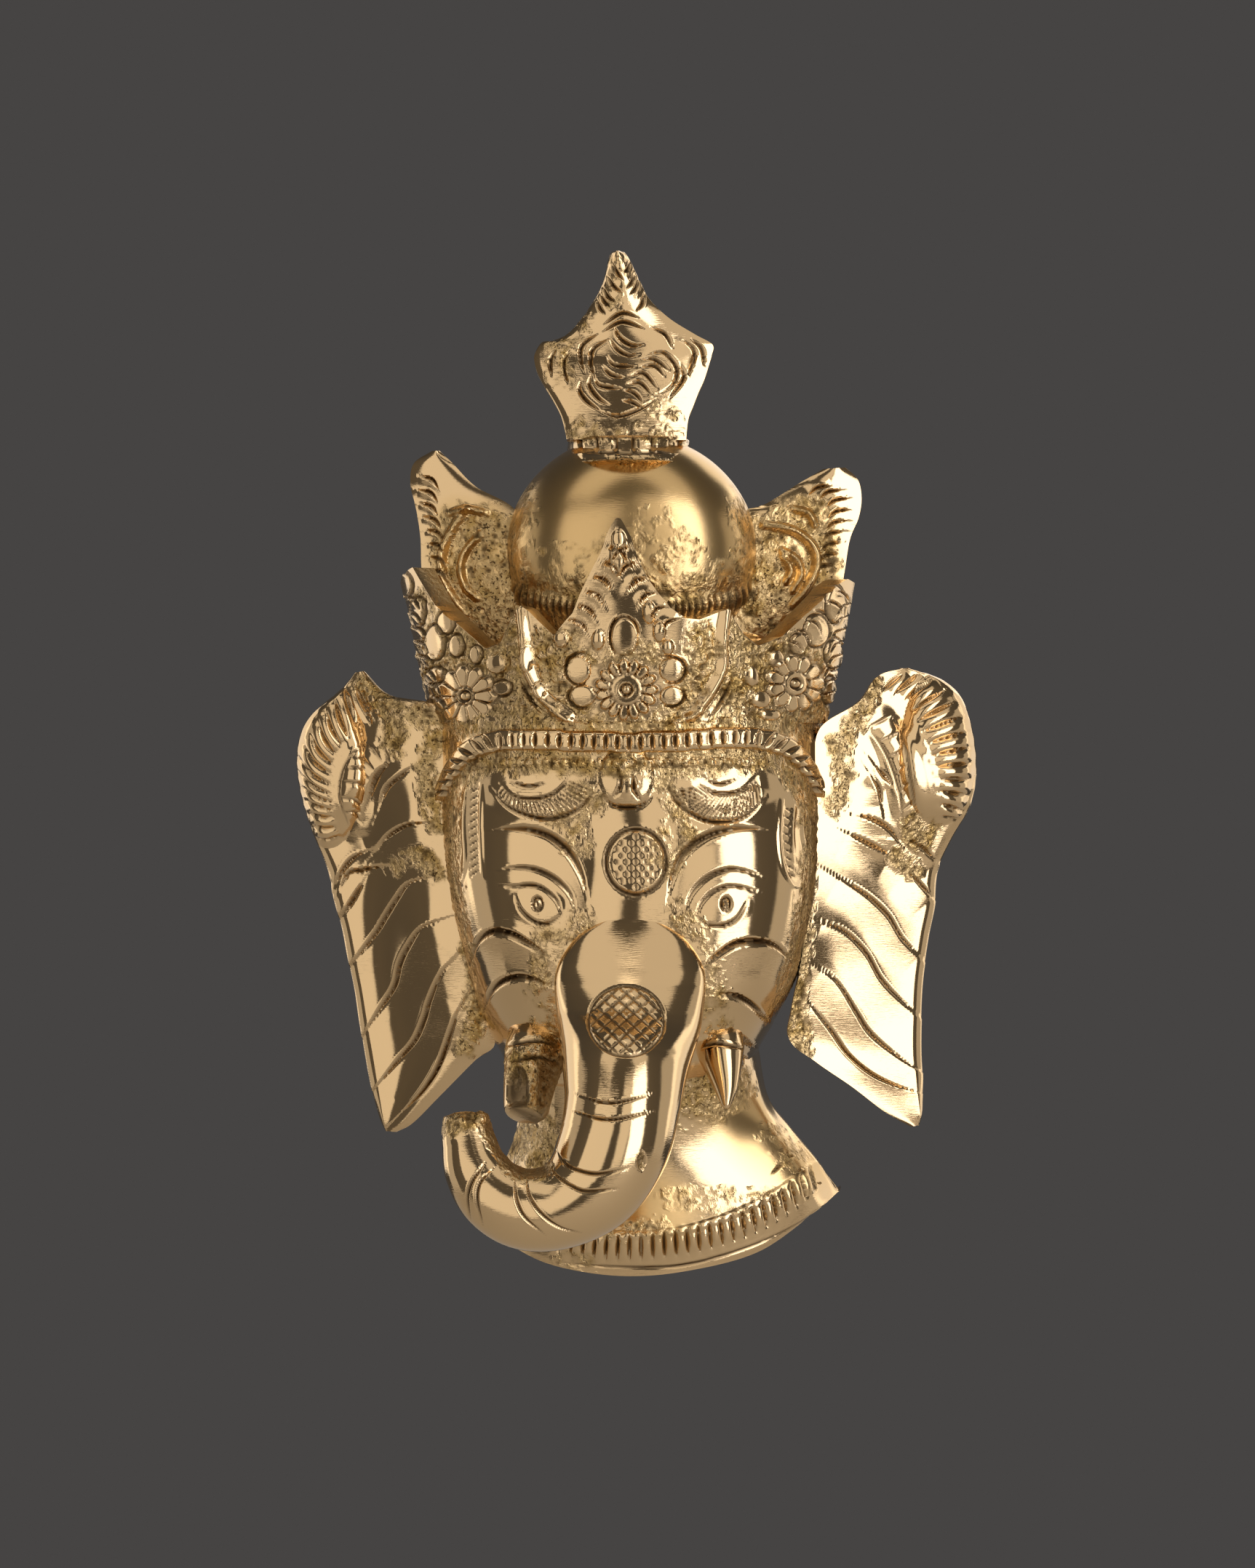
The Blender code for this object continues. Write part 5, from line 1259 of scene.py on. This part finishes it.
def node(material, kind, settings=None, links=None):
    """Add one node, give its settings and socket values, and link its inputs."""
    tree = material.node_tree
    new = tree.nodes.new(kind)
    for name, value in (settings or {}).items():
        if isinstance(name, str) and hasattr(new, name):
            setattr(new, name, value)
        else:
            new.inputs[name].default_value = value
    for name, socket in (links or {}).items():
        tree.links.new(socket, new.inputs[name])
    return new


# %% [markdown]
# ## Buffed brass
# Cast brass, filed and then buffed on a wheel with greasy compound. Buffing gives a near mirror
# with fine hairlines, and its colour is a pale pinkish gold. Where the wheel didn't reach, the
# foundry skin stays yellow-brown and rough, and brown compound sits in every cut; the same brown
# is also painted as shade inside the trunk's curl, on the left tusk's side next to the trunk and
# round the foot of the tiara's flowers. The three marks on the skin choose between them. Hairlines
# are about 0.15 mm apart, pits 0.6 mm and the sand's tooth 0.8 mm across, and the stains of burnt
# sand 5 mm.

# %% Brass
POLISHED = paint("#EBCB9B")
FOUNDRY = paint("#D9BA84")
SAND_BURNT = paint("#C09E60")
# dark brown of the compound in the cuts, also used as painted shade
COMPOUND_AND_SHADE = paint("#45321C")
BRUSHED = paint("#E2BF86")
STAIN_MM = 5.0
PIT_MM, HAIR_MM, TOOTH_MM = 0.6, 0.15, 0.8
HAIR_STRETCH = 14.0    # how many times longer than wide a hairline is
BUMP_METRES = 0.0004


def noise(material, place, size_mm, detail):
    """Noise whose bumps are about one size across, in millimetres."""
    return node(material, "ShaderNodeTexNoise", {"Scale": 1000.0 / size_mm, "Detail": detail},
                {"Vector": place}).outputs["Fac"]


def brass(name, polished, rough, hair):
    """Brass whose finish follows the marks for dirt and painted shade, raw casting and brushing."""
    material = bpy.data.materials.new(name)
    material.use_nodes = True
    shader = material.node_tree.nodes["Principled BSDF"]
    shader.inputs["Metallic"].default_value = 1.0
    place = node(material, "ShaderNodeTexCoord").outputs["Object"]
    dirt, cast, satin = [node(material, "ShaderNodeAttribute", {"attribute_name": field}).outputs["Fac"]
                         for field in ("dirt", "cast", "satin")]
    pits = noise(material, place, PIT_MM, 2.0)
    tooth = noise(material, place, TOOTH_MM, 3.0)
    stretch = node(material, "ShaderNodeMapping",
                   {"Scale": (1.0, 1.0, HAIR_STRETCH), "Rotation": (0.2, 0.4, 0.5)}, {"Vector": place})
    hairs = noise(material, stretch.outputs["Vector"], HAIR_STRETCH * HAIR_MM, 2.0)
    stains = noise(material, place, STAIN_MM, 3.0)
    stained = node(material, "ShaderNodeMapRange", {"From Min": 0.46, "From Max": 0.62}, {"Value": stains})
    foundry = node(material, "ShaderNodeMix", {"data_type": "RGBA", 6: FOUNDRY, 7: SAND_BURNT},
                   {0: stained.outputs["Result"]})
    speckle = node(material, "ShaderNodeMapRange", {"From Min": 0.57, "From Max": 0.65, "To Max": 0.85},
                   {"Value": pits})
    specks = node(material, "ShaderNodeMath", {"operation": "MULTIPLY"},
                  {0: speckle.outputs["Result"], 1: cast})
    # dark mark for compound and painted shade, together with the cast's pits
    grime_and_shade = node(material, "ShaderNodeMath", {"operation": "MAXIMUM"},
                 {0: dirt, 1: specks.outputs["Value"]})
    brushed = node(material, "ShaderNodeMix", {"data_type": "RGBA", 6: polished, 7: BRUSHED}, {0: satin})
    raw = node(material, "ShaderNodeMix", {"data_type": "RGBA"},
               {0: cast, 6: brushed.outputs[2], 7: foundry.outputs[2]})
    colour = node(material, "ShaderNodeMix", {"data_type": "RGBA", 7: COMPOUND_AND_SHADE},
                  {0: grime_and_shade.outputs["Value"], 6: raw.outputs[2]})
    dull = node(material, "ShaderNodeMapRange", {"To Min": rough, "To Max": 0.28}, {"Value": cast})
    softer = node(material, "ShaderNodeMath", {"operation": "MULTIPLY_ADD", 1: 0.15},
                  {0: satin, 2: dull.outputs["Result"]})
    dusty = node(material, "ShaderNodeMath", {"operation": "MULTIPLY_ADD", 1: 0.35, "use_clamp": True},
                 {0: grime_and_shade.outputs["Value"], 2: softer.outputs["Value"]})
    height = node(material, "ShaderNodeMath", {"operation": "MULTIPLY"}, {0: tooth, 1: cast})
    hair_height = node(material, "ShaderNodeMath", {"operation": "MULTIPLY_ADD", 1: hair},
                       {0: hairs, 2: height.outputs["Value"]})
    bump = node(material, "ShaderNodeBump", {"Strength": 1.0, "Distance": BUMP_METRES},
                {"Height": hair_height.outputs["Value"]})
    link = material.node_tree.links.new
    link(colour.outputs[2], shader.inputs["Base Color"])
    link(dusty.outputs["Value"], shader.inputs["Roughness"])
    link(bump.outputs["Normal"], shader.inputs["Normal"])
    return material


buffed_brass = brass("buffed_brass", POLISHED, 0.09, 0.04)
raw_brass = brass("raw_cast_brass", BRUSHED, 0.30, 0.10)
for piece in PIECES:
    piece.data.materials.append(buffed_brass)
    piece.data.materials.append(raw_brass)
print(len(bpy.data.materials), "finishes")

# %% [markdown]
# ## Lamps, floor and camera
# A mirror shows its surroundings, so the lamps are drawn for what they look like in the metal:
# one wide soft box left of the lens and two tall ones right of it, with dark gaps between them,
# two weaker ones overhead and five beside and behind the mask for its edges. The surroundings are
# a dark warm grey, a little lighter on the viewer's side, and the floor is plain and pale.

# %% Studio
AIM = (0.0, -0.03, -0.045)
WARM_WHITE, COOL_WHITE = "#FFF8F0", "#FAF9FF"


def soft_box(name, place, wide, high, glow, hue=WARM_WHITE):
    """Rectangular lamp at a place in metres, turned to the mask; glow is how bright it looks."""
    lamp = bpy.data.lights.new(name, "AREA")
    lamp.shape = "RECTANGLE"
    lamp.size = wide
    lamp.size_y = high
    lamp.energy = glow * math.pi * wide * high
    lamp.color = paint(hue)[:3]
    holder = bpy.data.objects.new(name, lamp)
    holder.location = place
    holder.rotation_euler = (Vector(AIM) - Vector(place)).to_track_quat("-Z", "Y").to_euler()
    holder.visible_camera = False
    bpy.context.scene.collection.objects.link(holder)


LAMPS = [   # name, place in metres, width, height, glow
    ("left_box", (-0.66, -1.02, 0.12), 1.12, 1.30, 0.74),
    ("right_near_box", (0.34, -1.15, 0.20), 0.42, 1.40, 0.72),
    ("right_far_box", (0.88, -0.95, 0.20), 0.66, 1.50, 2.7, COOL_WHITE),
    ("top_left_box", (-0.46, -0.40, 1.22), 0.70, 1.20, 0.62),
    ("top_right_box", (0.46, -0.40, 1.22), 0.70, 1.20, 0.56),
    ("left_side_box", (-1.30, 0.34, -0.10), 0.80, 1.20, 0.4),
    ("right_side_box", (1.30, 0.34, 0.00), 0.80, 1.20, 0.4),
    ("rear_left_box", (-1.05, 0.85, 0.15), 0.80, 1.00, 0.9),
    ("rear_right_box", (1.05, 0.85, 0.15), 0.80, 1.00, 0.9),
    ("back_box", (0.5, 1.20, 0.60), 0.90, 0.90, 1.2)]
for row in LAMPS:
    soft_box(*row)

world = bpy.data.worlds.new("studio_grey")
world.use_nodes = True
direction = node(world, "ShaderNodeTexCoord").outputs["Generated"]
parts = node(world, "ShaderNodeSeparateXYZ", {}, {"Vector": direction})
room = node(world, "ShaderNodeMapRange", {"From Min": -1.0, "From Max": 1.0}, {"Value": parts.outputs["Y"]})
greys = node(world, "ShaderNodeValToRGB", {}, {"Fac": room.outputs["Result"]})
greys.color_ramp.elements[0].position = 0.08
greys.color_ramp.elements[0].color = paint("#524E4A")
greys.color_ramp.elements[1].position = 0.75
greys.color_ramp.elements[1].color = paint("#464443")
greys.color_ramp.elements.new(0.32).color = paint("#5C5751")
world.node_tree.links.new(greys.outputs["Color"], world.node_tree.nodes["Background"].inputs["Color"])
bpy.context.scene.world = world
bpy.context.scene.view_settings.view_transform = "Standard"

FLOOR_RADIUS, FLOOR_DROP, FLOOR_CORNERS = 1.0, 0.40, 96
floor_mesh = bpy.data.meshes.new("floor")
ring = [(FLOOR_RADIUS * math.cos(t), FLOOR_RADIUS * math.sin(t), AIM[2] - FLOOR_DROP)
        for t in np.linspace(0.0, 2.0 * math.pi, FLOOR_CORNERS + 1)[:-1]]
floor_mesh.from_pydata(ring, [], [tuple(range(FLOOR_CORNERS))])
floor = bpy.data.objects.new("floor", floor_mesh)
bpy.context.scene.collection.objects.link(floor)
floor_finish = bpy.data.materials.new("pale_floor")
floor_finish.use_nodes = True
floor_shader = floor_finish.node_tree.nodes["Principled BSDF"]
floor_shader.inputs["Base Color"].default_value = paint("#D8D4CE")
floor_shader.inputs["Roughness"].default_value = 0.8
floor_mesh.materials.append(floor_finish)

LENS_MM, SENSOR_MM = 105.0, 36.0
camera_data = bpy.data.cameras.new("camera")
camera_data.lens = LENS_MM
camera_data.sensor_width = SENSOR_MM
camera_data.sensor_fit = "VERTICAL"
camera_data.sensor_height = SENSOR_MM
camera = bpy.data.objects.new("camera", camera_data)
camera.location = [MM * float(v) for v in spot(EYE_ACROSS, EYE_DOWN, EYE_LIFT)]
camera.rotation_euler = (math.radians(90.0), 0.0, 0.0)
bpy.context.scene.collection.objects.link(camera)
bpy.context.scene.camera = camera
print("the camera stands at", [round(v, 4) for v in camera.location])

# %% [markdown]
# ## Putting it together
# Every piece is part of the one casting, so each rides the mask's body, stands for the packed
# solid and takes the brass slot.

# %% Hand over
for piece in PIECES:
    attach(piece, "root")
    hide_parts("ganesha_mask")

bpy.context.view_layer.update()
